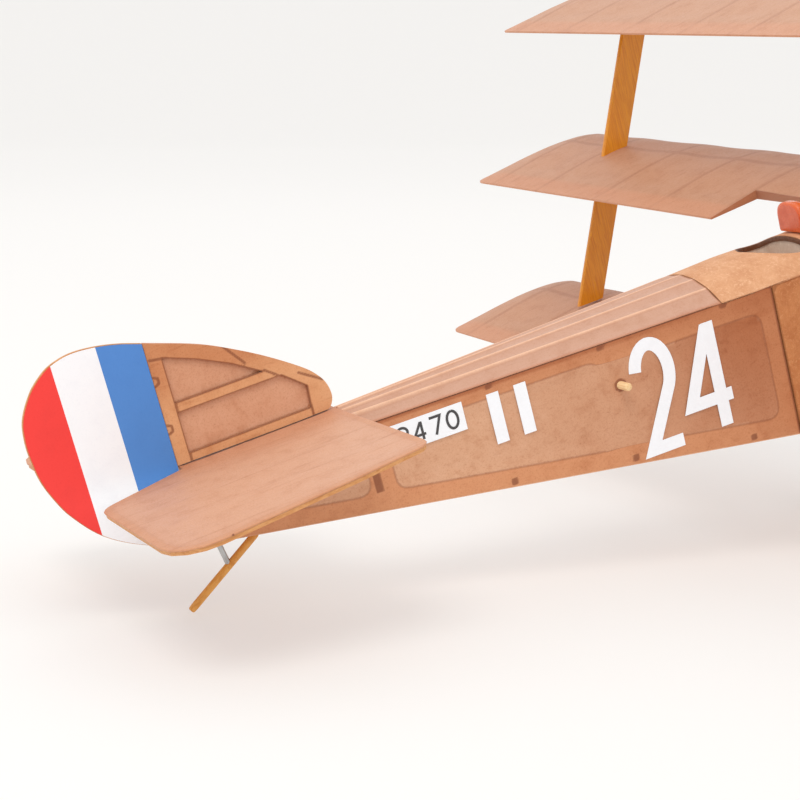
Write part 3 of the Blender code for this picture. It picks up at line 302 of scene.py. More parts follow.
def inside(u, v, outline):
    """+1 inside the outline and -1 outside it."""
    crossings = np.zeros(np.shape(u), int)
    for (ua, va), (ub, vb) in outline_segments(outline):
        if va == vb:
            continue
        spans = (v >= min(va, vb)) & (v < max(va, vb))
        at = ua + (v - va) * (ub - ua) / (vb - va)
        crossings += spans & (at > u)
    return np.where(crossings % 2 == 1, 1.0, -1.0)


def wood_edge(u, v, openings):
    """How far a point is inside the wood round the openings: negative in an opening."""
    return np.min([-inside(u, v, outline) * to_outline(u, v, outline) for outline in openings], axis=0)


def to_squares(u, v, squares):
    """Distance outside the nearest rectangle (u, v, half width, half height)."""
    gaps = [np.maximum(np.abs(u - cu) - half_u, np.abs(v - cv) - half_v)
            for cu, cv, half_u, half_v in squares]
    return np.maximum(np.min(gaps, axis=0), 0)


# ---- materials


def linear(colour):
    """A colour in 0 to 255, as linear light."""
    shares = [c / 255 for c in colour]
    return tuple(c / 12.92 if c <= 0.04045 else ((c + 0.055) / 1.055) ** 2.4 for c in shares)


class Nodes:
    """A material's node tree, with short ways to add to it."""

    def __init__(self, name):
        self.material = bpy.data.materials.new(name)
        self.material.use_nodes = True
        self.tree = self.material.node_tree
        self.shader = self.tree.nodes["Principled BSDF"]
        origin = tuple(float(v) for v in -(ORIGIN @ TURN) * 1000)
        pitch = math.atan2(AXIS_X[2], AXIS_X[0])
        mapping = self.new("Mapping", Vector=self.new("TexCoord").outputs["Object"], Scale=(1000, 1000, 1000),
                           Rotation=(0, pitch, 0), Location=origin)
        self.place = mapping.outputs["Vector"]

    def new(self, kind, **values):
        """A node whose inputs, with _ for a space, are constants or other nodes' outputs."""
        node = self.tree.nodes.new("ShaderNode" + kind)
        for key, value in values.items():
            self.put(node.inputs[key.replace("_", " ")], value)
        return node

    def put(self, socket, value):
        if isinstance(value, bpy.types.NodeSocket):
            self.tree.links.new(value, socket)
        else:
            socket.default_value = value

    def math(self, operation, a, b=0.0):
        node = self.new("Math")
        node.operation = operation
        for socket, value in zip(node.inputs, (a, b)):
            self.put(socket, value)
        return node.outputs[0]

    def attribute(self, name):
        node = self.new("Attribute")
        node.attribute_name = name
        return node.outputs["Fac"]

    def noise(self, scale, stretch=(1, 1, 1), detail=3.0, rough=0.55, distortion=0.0):
        """Noise in airframe millimetres; scale is in features per millimetre."""
        place = self.new("Mapping", Vector=self.place, Scale=stretch).outputs["Vector"]
        return self.new("TexNoise", Vector=place, Scale=scale, Detail=detail, Roughness=rough,
                        Distortion=distortion).outputs["Fac"]

    def ramp(self, value, low, high, to_low=0.0, to_high=1.0):
        node = self.new("MapRange", Value=value, From_Min=low, From_Max=high, To_Min=to_low, To_Max=to_high)
        node.interpolation_type = "SMOOTHSTEP"
        return node.outputs["Result"]

    def mix(self, share, a, b, blend="MIX"):
        node = self.new("Mix")
        node.data_type = "RGBA"
        node.blend_type = blend
        self.put(node.inputs[0], share)
        for socket, colour in ((node.inputs[6], a), (node.inputs[7], b)):
            self.put(socket, colour if isinstance(colour, bpy.types.NodeSocket) else (*colour, 1.0))
        return node.outputs[2]

    def cover(self, colour, other, value, low, high, share):
        """The other colour laid over this one, by a share that grows as the value goes from low to high."""
        return self.mix(self.math("MULTIPLY", self.ramp(value, low, high), share), colour, other)

    def bump(self, height, strength, distance):
        normal = self.new("Bump", Strength=strength, Distance=distance, Height=height).outputs["Normal"]
        self.put(self.shader.inputs["Normal"], normal)

    def coordinate(self, axis):
        return self.new("SeparateXYZ", Vector=self.place).outputs[axis]

    def finish(self, colour, roughness, **fixed):
        self.put(self.shader.inputs["Base Color"], colour)
        self.put(self.shader.inputs["Roughness"], roughness)
        for key, value in fixed.items():
            self.shader.inputs[key.replace("_", " ")].default_value = value
        return self.material


def tissue(name, bare, wood, line, tone, streak, mottle, line_share, streaks=0.25, wood_soft=0.35,
           joint_share=0.75, gloss=0.5):
    """Doped tissue. Attributes: edge is millimetres inside the wood behind it, joint is the distance to a
    dark line, tone darkens it where the inside is in shade."""
    made = Nodes(name)
    bare, wood, line, tone = map(linear, (bare, wood, line, tone))
    blotch = made.noise(0.16, detail=4.0, rough=0.6)
    speckle = made.noise(1.6, detail=3.0, rough=0.7)
    fibre = made.noise(0.55, streak, detail=5.0, rough=0.65, distortion=0.6)
    grain = made.noise(2.4, detail=2.0)
    wobble = made.math("MULTIPLY", made.math("SUBTRACT", speckle, 0.5), 0.5)
    edge = made.math("ADD", made.attribute("edge"), wobble)
    colour = made.mix(made.ramp(edge, -wood_soft, wood_soft), bare, wood)
    colour = made.mix(made.attribute("tone"), colour, tone)
    for fac, low, high, share, tint in (
            (blotch, 0.48, 0.74, mottle, (0.86, 0.76, 0.68)),
            (blotch, 0.50, 0.28, mottle * 0.7, (1.05, 1.09, 1.14)),
            (fibre, 0.52, 0.72, streaks, (0.84, 0.74, 0.66)),
            (speckle, 0.54, 0.76, mottle * 1.1, (0.84, 0.74, 0.66)),
            (speckle, 0.42, 0.24, mottle, (1.07, 1.11, 1.16)),
            (grain, 0.50, 0.72, mottle * 0.9, (0.88, 0.80, 0.74))):
        colour = made.cover(colour, made.mix(1.0, colour, tint, "MULTIPLY"), fac, low, high, share)
    colour = made.cover(colour, line, made.math("ABSOLUTE", edge), 0.55, 0.05, line_share)
    joint = made.math("ADD", made.attribute("joint"), made.math("MULTIPLY", wobble, 0.5))
    colour = made.cover(colour, line, joint, 0.55, 0.12, joint_share)
    height = made.math("ADD", made.math("MULTIPLY", fibre, 0.6), made.math("MULTIPLY", speckle, 0.5))
    made.bump(height, 0.28, 0.0004)
    rough = made.ramp(speckle, 0.3, 0.7, gloss - 0.06, gloss + 0.12)
    return made.finish(colour, rough, Specular_IOR_Level=0.35, Sheen_Weight=0.12, Sheen_Roughness=0.5)


def timber(name, light, dark, along=(0.04, 1, 1), grain=1.6, gloss=0.55, coat=0.0):
    """Wood with its grain along one airframe axis: that axis has the small number in along."""
    made = Nodes(name)
    light, dark = linear(light), linear(dark)
    lines = made.noise(grain, along, detail=6.0, rough=0.7, distortion=0.8)
    broad = made.noise(0.12, along, detail=2.0)
    pores = made.noise(3.0, tuple(max(a, 0.12) for a in along), detail=2.0)
    colour = made.mix(made.ramp(lines, 0.36, 0.68), light, dark)
    colour = made.cover(colour, dark, broad, 0.35, 0.7, 0.35)
    colour = made.cover(colour, tuple(c * 0.55 for c in dark), pores, 0.62, 0.78, 0.3)
    made.bump(lines, 0.25, 0.0003)
    rough = made.ramp(lines, 0.3, 0.7, gloss - 0.08, gloss + 0.1)
    return made.finish(colour, rough, Specular_IOR_Level=0.4, Coat_Weight=coat, Coat_Roughness=0.25)


def card(name, base, deep, pale, shadowed_edges=True):
    """Printed kraft card: a felt of short fibres, blotches, fine dark flecks and a dark line at edge 0,
    painted shadow along the card's raised edge.
    """
    made = Nodes(name)
    base, deep, pale = map(linear, (base, deep, pale))
    blotch = made.noise(0.13, detail=5.0, rough=0.65)
    felt = made.noise(0.9, (1, 1, 1), detail=6.0, rough=0.75, distortion=1.2)
    fleck = made.noise(2.6, detail=2.0)
    colour = made.mix(made.ramp(blotch, 0.32, 0.72, 0.0, 0.55), base, deep)
    colour = made.cover(colour, pale, felt, 0.50, 0.34, 0.6)
    colour = made.cover(colour, deep, felt, 0.54, 0.76, 0.5)
    dark = tuple(c * 0.5 for c in deep)
    colour = made.cover(colour, dark, fleck, 0.66, 0.80, 0.35)
    # Painted shadow: a dark line along edge 0, where the card's edge stands proud.
    if shadowed_edges:
        colour = made.cover(colour, dark, made.math("ABSOLUTE", made.attribute("edge")), 0.5, 0.05, 0.45)
    made.bump(felt, 0.35, 0.0004)
    return made.finish(colour, made.ramp(felt, 0.3, 0.7, 0.5, 0.68), Specular_IOR_Level=0.3)


def painted(name, colour, other, scale, gloss, metallic=0.0, stretch=(1, 1, 1), bump=0.15, coat=0.0):
    """A smooth finish with faint clouds, fine scratches and worn patches."""
    made = Nodes(name)
    colour, other = linear(colour), linear(other)
    cloud = made.noise(scale, stretch, detail=5.0, rough=0.6)
    fine = made.noise(scale * 7, stretch, detail=3.0, rough=0.7)
    mixed = made.cover(made.cover(colour, other, cloud, 0.35, 0.7, 0.5), other, fine, 0.6, 0.8, 0.4)
    made.bump(fine, bump, 0.0002)
    rough = made.ramp(cloud, 0.3, 0.7, max(gloss - 0.1, 0.05), gloss + 0.12)
    return made.finish(mixed, rough, Metallic=metallic, Coat_Weight=coat, Coat_Roughness=0.2)


def spun_metal(name, colour, gloss):
    """Metal turned on a lathe: fine rings round the thrust line, with handling marks."""
    made = Nodes(name)
    colour = linear(colour)
    y, z = made.coordinate(1), made.math("ADD", made.coordinate(2), -THRUST)
    radius = made.math("SQRT", made.math("ADD", made.math("MULTIPLY", y, y), made.math("MULTIPLY", z, z)))
    ripple = made.math("SINE", made.math("MULTIPLY", made.math("ADD", radius, made.coordinate(0)), 9.0))
    cloud = made.noise(0.25, detail=4.0)
    mixed = made.cover(colour, tuple(c * 0.7 for c in colour), cloud, 0.35, 0.75, 0.6)
    made.bump(ripple, 0.12, 0.0001)
    return made.finish(mixed, made.ramp(cloud, 0.3, 0.7, gloss, gloss + 0.18), Metallic=1.0)


def striped_paper(name, stripes):
    """Matt printed paper in stripes; each is (front edge in millimetres, colour), front first."""
    made = Nodes(name)
    x = made.coordinate(0)
    fine = made.noise(1.8, detail=3.0, rough=0.7)
    cloud = made.noise(0.12, detail=3.0)
    colour = linear(stripes[0][1])
    for front, next_colour in stripes[1:]:
        colour = made.mix(made.math("LESS_THAN", x, front), colour, linear(next_colour))
    darker = made.mix(1.0, colour, (0.72, 0.74, 0.80), "MULTIPLY")
    colour = made.cover(made.cover(colour, darker, fine, 0.52, 0.78, 0.18), darker, cloud, 0.45, 0.7, 0.12)
    made.bump(fine, 0.12, 0.0002)
    return made.finish(colour, made.ramp(fine, 0.3, 0.7, 0.55, 0.7), Specular_IOR_Level=0.25)


LINE = (126, 66, 38)
SIDE_TISSUE = tissue("side_tissue", (214, 164, 130), (212, 147, 104), LINE, (174, 103, 62),
                     streak=(0.5, 1, 1), mottle=0.85, streaks=0.5, line_share=0.38)
# On the deck the pale wood colour is a painted highlight along the stringer ridges, over the stringers under
# the tissue, and the line colour beside it is painted shade.
DECK_TISSUE = tissue("deck_tissue", (201, 156, 132), (240, 198, 168), (176, 112, 78),
                     (190, 122, 86), streak=(0.15, 1, 1), line_share=0.3, wood_soft=0.3, mottle=0.5)
TAIL_TISSUE = tissue("tailplane_tissue", (211, 158, 126), (209, 153, 117), (120, 66, 40),
                     (196, 128, 86), streak=(0.06, 0.8, 1), line_share=0.05, joint_share=0.9, mottle=0.6,
                     streaks=0.85)
WING_TISSUE = tissue("wing_tissue", (197, 145, 112), (181, 124, 90), (160, 98, 68),
                     (206, 144, 108), streak=(0.12, 1.2, 1), line_share=0.15, wood_soft=1.1, mottle=0.6,
                     streaks=0.6)
FIN_TISSUE = tissue("fin_tissue", (218, 166, 134), (216, 146, 100), LINE, (196, 130, 92),
                    streak=(1, 1, 0.5), mottle=0.85, line_share=0.25)
FIN_WOOD = tissue("fin_wood", (224, 168, 122), (224, 168, 122), LINE, (188, 112, 66),
                  streak=(0.12, 1, 1), line_share=0.0, mottle=0.8, streaks=0.65, gloss=0.45)
KRAFT = card("kraft_card", (222, 168, 127), (194, 130, 86), (240, 196, 158))
# A darker, more orange copy of the card for the cheeks: partly painted shade of the side faces, partly the
# wood behind them.
KRAFT_SIDE = card("kraft_cheek", (204, 136, 86), (170, 96, 52), (222, 160, 110))
KRAFT_DISC = card("kraft_disc", (206, 140, 90), (170, 100, 54), (226, 164, 112), shadowed_edges=False)
LINER = card("liner_card", (222, 200, 182), (196, 168, 146), (236, 218, 202), shadowed_edges=False)
BELLY_TISSUE = card("belly_tissue", (219, 165, 128), (204, 132, 88), (228, 180, 146), shadowed_edges=False)
BALSA = timber("balsa", (236, 196, 146), (206, 150, 96))
BALSA_ACROSS = timber("balsa_across", (236, 196, 146), (206, 150, 96), along=(1, 0.04, 1))
PALE_DOWEL = timber("pale_dowel", (250, 220, 172), (228, 184, 128), along=(1, 0.03, 1), gloss=0.5)
VARNISH = timber("ochre_varnish", (234, 158, 20), (212, 128, 6), along=(1, 1, 0.05), grain=1.5,
                 gloss=0.34, coat=0.35)
SKID_WOOD = timber("skid_wood", (236, 176, 92), (208, 138, 58), along=(0.2, 1, 0.12), grain=1.4, gloss=0.45)
EDGE_WOOD = timber("edge_wood", (222, 164, 106), (196, 130, 74), gloss=0.5)
COAMING = painted("coaming_leather", (112, 66, 36), (70, 38, 20), scale=0.8, gloss=0.5, bump=0.5)
PAD = painted("pad_leather", (224, 100, 52), (196, 72, 30), scale=0.35, gloss=0.3, bump=0.25, coat=0.3)
PAD_EDGE = painted("pad_edge", (228, 104, 40), (198, 74, 24), scale=0.4, gloss=0.25, bump=0.15, coat=0.5)
ALUMINIUM = painted("aluminium", (196, 198, 198), (150, 152, 152), scale=0.8, gloss=0.34, metallic=1.0,
                    stretch=(1, 1, 0.3))
SPUN = spun_metal("spun_aluminium", (204, 206, 208), 0.26)
STEEL = painted("spring_steel", (170, 170, 172), (120, 118, 116), scale=1.2, gloss=0.28, metallic=1.0)
BRASS = painted("brass", (206, 168, 96), (160, 120, 60), scale=0.9, gloss=0.26, metallic=1.0)
ENGINE = painted("engine_paint", (78, 78, 80), (46, 46, 48), scale=0.5, gloss=0.45, metallic=0.5)
ENGINE_LIGHT = painted("engine_casting", (136, 138, 140), (92, 94, 96), scale=0.6, gloss=0.42,
                       metallic=0.7)
PROPELLER = timber("propeller_wood", (120, 66, 34), (74, 34, 16), along=(1, 1, 0.06), grain=0.8, gloss=0.28,
                   coat=0.6)
RUBBER = painted("strip_rubber", (196, 168, 122), (168, 138, 94), scale=1.0, gloss=0.55, bump=0.3)
TYRE = painted("tyre_rubber", (64, 62, 60), (88, 84, 80), scale=0.9, gloss=0.72, bump=0.4)
INK_WHITE = painted("white_film", (246, 249, 254), (240, 243, 248), scale=0.4, gloss=0.5, bump=0.08)
INK_BLACK = painted("black_ink", (62, 60, 62), (84, 82, 84), scale=0.9, gloss=0.5, bump=0.08)
STRIPES = striped_paper("rudder_stripes", ((0.0, (84, 140, 214)), (-12.5, (247, 250, 255)),
                                           (-25.4, (243, 68, 64))))
SLOT_OF = {finish: slot for slot, finishes in {
    "tan_tissue": (SIDE_TISSUE, DECK_TISSUE, TAIL_TISSUE, WING_TISSUE, FIN_TISSUE),
    "kraft_card": (KRAFT, KRAFT_SIDE, KRAFT_DISC, LINER), "balsa": (FIN_WOOD, EDGE_WOOD, PALE_DOWEL),
    "ochre_varnished_wood": (SKID_WOOD,), "dark_leather": (COAMING,), "orange_pad": (PAD, PAD_EDGE),
    "rudder_paper": (INK_WHITE, INK_BLACK, STRIPES), "aluminium": (ALUMINIUM,), "spring_steel": (STEEL,),
    "engine_grey": (ENGINE_LIGHT,), "propeller_brown": (PROPELLER,), "brass": (BRASS,), "tyre_grey": (TYRE,),
    "tan_rubber": (RUBBER,)}.items() for finish in finishes}


def outlines(node, axis):
    """The outlines of a flat node's largest face along an airframe axis, the outer one first."""
    mesh = frame["nodes"][node].data
    points = local(node)
    keep = [c for c in range(3) if c != axis]
    side = points[:, axis] > points[:, axis].mean()
    edges = {}
    for polygon in mesh.polygons:
        corners = list(polygon.vertices)
        if not all(side[corner] for corner in corners):
            continue
        keys = [tuple(np.round(points[corner], 2)[keep]) for corner in corners]
        for a, b in zip(keys, keys[1:] + keys[:1]):
            if a != b:
                edges[(a, b)] = edges.get((a, b), 0) + 1
    rim = {a: b for a, b in edges if (b, a) not in edges}
    loops = []
    while rim:
        start, place = rim.popitem()
        loop = [start]
        while place != start:
            loop.append(place)
            place = rim.pop(place)
        loops.append(np.array(loop))

    def area(loop):
        u, v = loop.T
        return abs(float(u @ np.roll(v, -1) - v @ np.roll(u, -1))) / 2

    return sorted(loops, key=area, reverse=True)


def eased(loop, hinge_x):
    """A tail outline without the recesses at its hinges, and with a smooth curve through its corners."""
    hinge = loop[np.abs(loop[:, 0]) < 1.7]
    keep = [tuple(p) for p in loop if abs(p[0]) >= 1.7]
    start = max(range(len(keep)), key=lambda k: np.linalg.norm(np.subtract(keep[k], keep[k - 1])))
    curve = np.array(keep[start:] + keep[:start])
    ends = [(hinge_x, float(hinge[:, 1].min())), (hinge_x, float(hinge[:, 1].max()))]
    if abs(curve[0, 1] - ends[0][1]) > abs(curve[0, 1] - ends[1][1]):
        ends.reverse()
    points = np.vstack([ends[0], curve, ends[1]])
    padded = np.vstack([2 * points[0] - points[1], points, 2 * points[-1] - points[-2]])
    smoothed = []
    for a, b, c, d in zip(padded, padded[1:], padded[2:], padded[3:]):
        reach = np.linalg.norm(c - b)
        leave, arrive = (c - a) / np.linalg.norm(c - a) * reach, (d - b) / np.linalg.norm(d - b) * reach
        for t in np.arange(6) / 6:
            smoothed.append(b + leave * t * (1 - t) ** 2 - arrive * t**2 * (1 - t)
                            + (c - b) * t * t * (3 - 2 * t))
    return np.array([*smoothed, points[-1]])


def panel(name, outline, centre, low, high, place, finish, replaced=(), edge=0.3, spacing=1.0, features=None,
          sag=None, *, rings):
    """A flat piece with rounded edges: rings of points from the outline in to a centre, on both faces.
    place(u, v, t) gives a point; sag(u, v) moves the upper face down; features(u, v) gives the attributes."""
    rim = resample(np.asarray(outline, float), spacing)
    centre = np.asarray(centre, float)
    inward = centre - rim
    inward /= np.linalg.norm(inward, axis=1)[:, None]
    soft = min(edge, (high - low) / 2)
    under, over = [], []
    for levels, face, lift in ((under, low, soft), (over, high, -soft)):
        levels += [(centre + (rim + inward * edge - centre) * k / rings, face) for k in range(1, rings + 1)]
        levels += [(rim + inward * edge * (1 - math.sin(angle)), face + lift * (1 - math.cos(angle)))
                   for angle in (0.35, 0.8, 1.25)]
    levels = under + over[::-1]
    u, v = np.vstack([*(ring for ring, _ in levels), centre, centre]).T
    count = len(rim)
    heights = np.append(np.repeat([height for _, height in levels], count), (low, high))
    if sag:
        heights -= np.where(heights > (low + high) / 2, sag(u, v), 0.0)
    faces = ring_faces(len(levels), count)
    last = (len(levels) - 1) * count
    for i in range(count):
        faces += [(len(u) - 2, (i + 1) % count, i), (len(u) - 1, last + i, last + (i + 1) % count)]
    return add_object(name, place(u, v, heights), faces, finish, replaced,
                      attributes=features and features(u, v))


def made_mesh(thing):
    """The mesh of an object with its modifiers or its curve's thickness carried out."""
    bpy.context.view_layer.update()
    return bpy.data.meshes.new_from_object(thing.evaluated_get(bpy.context.evaluated_depsgraph_get()))


def grid_slab(name, outline, holes, low, high, place, finish, replaced, step, features=None, **rest):
    """A flat piece with openings, cut out of a fine grid, so that its attributes have points to sit on."""
    outline = np.asarray(outline, float)
    (u0, v0), (u1, v1) = outline.min(axis=0) - 2, outline.max(axis=0) + 2
    us = np.arange(u0, u1 + step, step)
    vs = np.arange(v0, v1 + step, step)
    points = [(u, v, t) for t in (low, high) for u in us for v in vs]
    slab = bpy.data.meshes.new(name)
    slab.from_pydata(points, [], sheet_faces(len(us), len(vs)))
    outward(slab)
    blank = put_in_scene(name, slab)
    curve = bpy.data.curves.new("cutter", "CURVE")
    curve.dimensions = "2D"
    curve.fill_mode = "BOTH"
    curve.extrude = (high - low) / 2 + 1.0
    for loop in (outline, *holes):
        spline = curve.splines.new("POLY")
        spline.points.add(len(loop) - 1)
        for point, (u, v) in zip(spline.points, loop):
            point.co = (u, v, 0.0, 1.0)
        spline.use_cyclic_u = True
    holder = put_in_scene("cutter", curve)
    prism = made_mesh(holder)
    prism.transform(Matrix.Translation((0, 0, (low + high) / 2)))
    cutter = put_in_scene("prism", prism)
    modifier = blank.modifiers.new("cut", "BOOLEAN")
    modifier.operation = "INTERSECT"
    modifier.solver = "EXACT"
    modifier.object = cutter
    mesh = made_mesh(blank)
    for used in (blank, holder, cutter):
        bpy.data.objects.remove(used, do_unlink=True)
    flat = np.empty(len(mesh.vertices) * 3)
    mesh.vertices.foreach_get("co", flat)
    u, v, t = flat.reshape(-1, 3).T
    mesh.vertices.foreach_set("co", to_world(place(u, v, t)).ravel())
    return dress(name, mesh, finish, replaced, attributes=features and features(u, v), **rest)


def ribbon(name, paths, width, place, finish, low=0.05, high=0.13):
    """Strokes of one width, with mitred corners, as one thin piece. place(u, v, t) gives a point."""
    points, faces = [], []
    for layer, path in enumerate(paths):
        path = np.asarray(path, float)
        steps = np.diff(path, axis=0)
        steps /= np.linalg.norm(steps, axis=1)[:, None]
        into, out = np.vstack([steps[:1], steps]), np.vstack([steps, steps[-1:]])
        normals = (into + out)[:, ::-1] * (-1, 1)
        normals /= np.linalg.norm(normals, axis=1)[:, None]
        mitre = np.maximum((normals * into[:, ::-1] * (-1, 1)).sum(axis=1), 0.45)
        normals *= (width / 2 / mitre)[:, None]
        start, count = len(points), len(path)
        lift = 0.012 * layer
        for flat, t in ((path - normals, low), (path - normals, high), (path + normals, high),
                        (path + normals, low)):
            points += [(u, v, t + lift) for u, v in flat]
        order = [start + side * count for side in range(4)]
        for a, b in zip(order, order[1:] + order[:1]):
            faces += [(a + k, a + k + 1, b + k + 1, b + k) for k in range(count - 1)]
        faces += [tuple(order), tuple(o + count - 1 for o in reversed(order))]
    u, v, t = np.array(points).T
    return add_object(name, place(u, v, t), faces, finish)


def arc(cu, cv, ru, rv, first, last, count):
    """Points on an ellipse between two angles in degrees."""
    return [(cu + ru * math.cos(a), cv + rv * math.sin(a))
            for a in np.radians(np.linspace(first, last, count))]


# Strokes of a digit in a box one wide and one high
DIGITS = {
    "0": [arc(0.5, 0.5, 0.5, 0.5, 90, 449, 29)],
    "2": [arc(0.5, 0.72, 0.5, 0.28, 170, -35, 22) + [(0.06, 0.0), (1.0, 0.0)]],
    "4": [[(1.02, 0.27), (0.0, 0.27), (0.70, 0.985)], [(0.74, 1.01), (0.74, -0.02)]],
    "7": [[(0.0, 1.0), (1.0, 1.0), (0.36, -0.02)]],
}


def digit(figure, left, foot, width, height):
    return [[(left + u * width, foot + v * height) for u, v in stroke] for stroke in DIGITS[figure]]


# ---- camera, light and floor

camera = put_in_scene("camera", bpy.data.cameras.new("camera"))
camera.location = (-0.317088, -0.502082, 0.143379)
camera.rotation_euler = [math.radians(angle) for angle in (81.0261, -0.1237, -25.5604)]
camera.data.lens = 89.36
camera.data.clip_start = 0.01
bpy.context.scene.camera = camera
bpy.context.scene.view_settings.view_transform = "Standard"

world = bpy.data.worlds.new("studio")
bpy.context.scene.world = world
world.use_nodes = True
background = world.node_tree.nodes["Background"]
background.inputs["Color"].default_value = (0.965, 0.945, 0.935, 1)
background.inputs["Strength"].default_value = 1.0


def softbox(name, place, target, size, watts, tint):
    light = bpy.data.lights.new(name, "AREA")
    light.shape, light.size, light.energy, light.color = "DISK", size, watts, tint
    holder = put_in_scene(name, light)
    holder.location = place
    holder.rotation_euler = (Vector(target) - Vector(place)).to_track_quat("-Z", "Y").to_euler()


softbox("key_softbox", (-0.9, -0.9, 1.7), (0.0, 0.0, 0.05), 1.0, 13.0, (1.0, 0.97, 0.93))
softbox("rim_softbox", (0.6, 1.4, 1.7), (0.0, 0.0, 0.05), 1.4, 2.4, (0.96, 0.98, 1.0))

# A round floor that curves up into a wall far off, so that no horizon shows
sweep = [(0.02, 0.0), (2.0, 0.0), (3.8, 0.0), (4.0, 0.0)]
sweep += [(4.0 + 1.5 * math.sin(a), 1.5 - 1.5 * math.cos(a)) for a in np.linspace(0.1, math.pi / 2, 16)]
sweep.append((5.5, 2.0))
floor_points = [(r * math.cos(a), r * math.sin(a), z) for r, z in sweep for a in turns(96)]
floor_mesh = bpy.data.meshes.new("studio_floor")
floor_mesh.from_pydata(floor_points, [], [f[::-1] for f in ring_faces(len(sweep), 96)] + [tuple(range(96))])
floor_mesh.shade_smooth()
floor_finish = bpy.data.materials.new("studio_floor")
floor_finish.use_nodes = True
floor_shader = floor_finish.node_tree.nodes["Principled BSDF"]
for key, value in (("Base Color", (0.485, 0.48, 0.47, 1)), ("Roughness", 0.9),
                   ("Emission Color", (1.0, 0.995, 0.985, 1)), ("Emission Strength", 0.425)):
    floor_shader.inputs[key].default_value = value
floor_mesh.materials.append(floor_finish)
studio_floor = put_in_scene("studio_floor", floor_mesh)

SIDES = (("left", 1), ("right", -1))


def smooth(value, low, high):
    t = np.clip((np.asarray(value, float) - low) / (high - low), 0, 1)
    return t * t * (3 - 2 * t)


# ---- fuselage sides

FORMERS_X = [float(local(f"former_{k}")[:, 0].mean()) for k in (1, 2, 3, 4)]
BAYS = [rounded([(x0, belly_z(x0) + strip, 4), (x1, belly_z(x1) + strip, 4), (x1, fold_z(x1) - top, 4),
                 (x0, fold_z(x0) - top, 4)])
        for x0, x1, strip, top in ((12.0, 50.0, 4.6, 4.0), (57.5, 124.5, 5.0, 4.2), (137.0, 178.2, 5.6, 6.4))]
TABS = [(x + more, belly_z(x) + 0.9, 0.8, 0.7) for x, more in zip(FORMERS_X[1:], (1.0, 3.4, 1.2))]
TABS += [(x, fold_z(x) - 0.9, 0.9, 0.4) for x in FORMERS_X]
TABS += [(52.2, belly_z(52.2) + 10.4, 0.85, 4.9)]


MUTED = (119.0, 142.0, 5.4)  # from, to and margin of the strip between two bays, whose wood hardly shows


def side_features(x, z):
    edge = wood_edge(x, z, BAYS)
    start, end, margin = MUTED
    muted = (x > start) & (x < end) & (z > belly_z(x) + margin) & (z < fold_z(x) - margin)
    edge = np.where(muted, np.minimum(edge, -0.9), edge)
    # Painted shadow gaps: a dark line along the fold under the deck's edge, and one at the cheek card's rear
    # edge.
    seam_shadow = to_segments(x, z, [((40.0, fold_z(40.0) - 0.1), (SIDE_X[1], fold_z(SIDE_X[1]) - 0.1))]) + 0.1
    peg_hole = np.hypot(x - PEG[0], z - PEG[2]) - 1.7
    joint = np.maximum(np.minimum.reduce([to_squares(x, z, TABS), seam_shadow, SIDE_X[1] - 0.3 - x, peg_hole]), 0)
    share = (z - belly_z(x)) / (fold_z(x) - belly_z(x))
    # tone is painted shade: the side darkens towards the front, most in the front bays and towards their top,
    # where the dark inside shows through the tissue; on the wood it darkens near the top and in front of the
    # cheek.
    tone = 0.26 * smooth(x, 80, 122) + smooth(x, 124, 174) * (0.34 + 0.42 * share)
    on_wood = 0.4 * tone + 0.14 * smooth(x, 168, 172) + 0.30 * smooth(share, 0.82, 0.96)
    tone = np.where(edge > 0, on_wood, tone)
    # Painted shadow: a dark strip just under the fold, beneath the deck's edge.
    tone = np.maximum(tone, 0.95 * (1 - smooth(fold_z(x) - z, 0.7, 1.5)))
    return {"edge": edge, "joint": joint, "tone": tone.clip(0, 1)}


def sheet_piece(name, xs, shares, place, thick, finish, replaced, features, **rest):
    """A curved sheet on a grid of stations and shares: place(x, share, depth) gives its points."""
    x, share = [a.ravel() for a in np.meshgrid(xs, shares, indexing="ij")]
    points = np.vstack([place(x, share, 0.0), place(x, share, thick)])
    made = {key: np.tile(values, 2) for key, values in features(points[:len(x)]).items()}
    return add_object(name, points, sheet_faces(len(xs), len(shares)), finish, replaced, attributes=made,
                      **rest)


CHEEK_LOW = profile_of(CHEEK, np.min)

for side, sign in SIDES:
    def skin(x, share, depth):
        z = belly_z(x) - 0.28 + (fold_z(x) - belly_z(x) + 0.28) * share
        sunk = 0.32 * smooth(-wood_edge(x, z, BAYS), 0.0, 3.5)
        return np.column_stack([x, sign * (half_width(x) - sunk - depth), z])

    sheet_piece(f"fuselage_side_{side}", np.arange(SIDE_X[0], SIDE_X[1] + 0.5, 0.9868), np.linspace(0, 1, 46),
                skin, 0.28, SIDE_TISSUE, [f"side_tissue_{side}"], lambda p: side_features(p[:, 0], p[:, 2]))

    def cheek(x, share, depth):
        low = np.interp(x, CHEEK_LOW[:, 0], CHEEK_LOW[:, 1]) - 0.25
        z = low + (fold_z(x) - 0.05 - low) * share
        return np.column_stack([x, sign * (half_width(x) + 0.3 - depth), z])

    # Edge 0 runs along the cheek's top fold and rear edge, where the card carries its painted shadow line.
    sheet_piece(f"cheek_card_{side}", np.linspace(*CHEEK_X, 60), np.linspace(0, 1, 24), cheek, 1.0,
                KRAFT_SIDE, [f"cheek_{side}"],
                lambda p: {"edge": np.minimum(fold_z(p[:, 0]) - p[:, 2], p[:, 0] - CHEEK_X[0]) - 0.1})

# ---- turtle deck and card deck

RIDGES = np.array((-1.0, -0.68, -0.35, 0.0, 0.35, 0.68, 1.0))


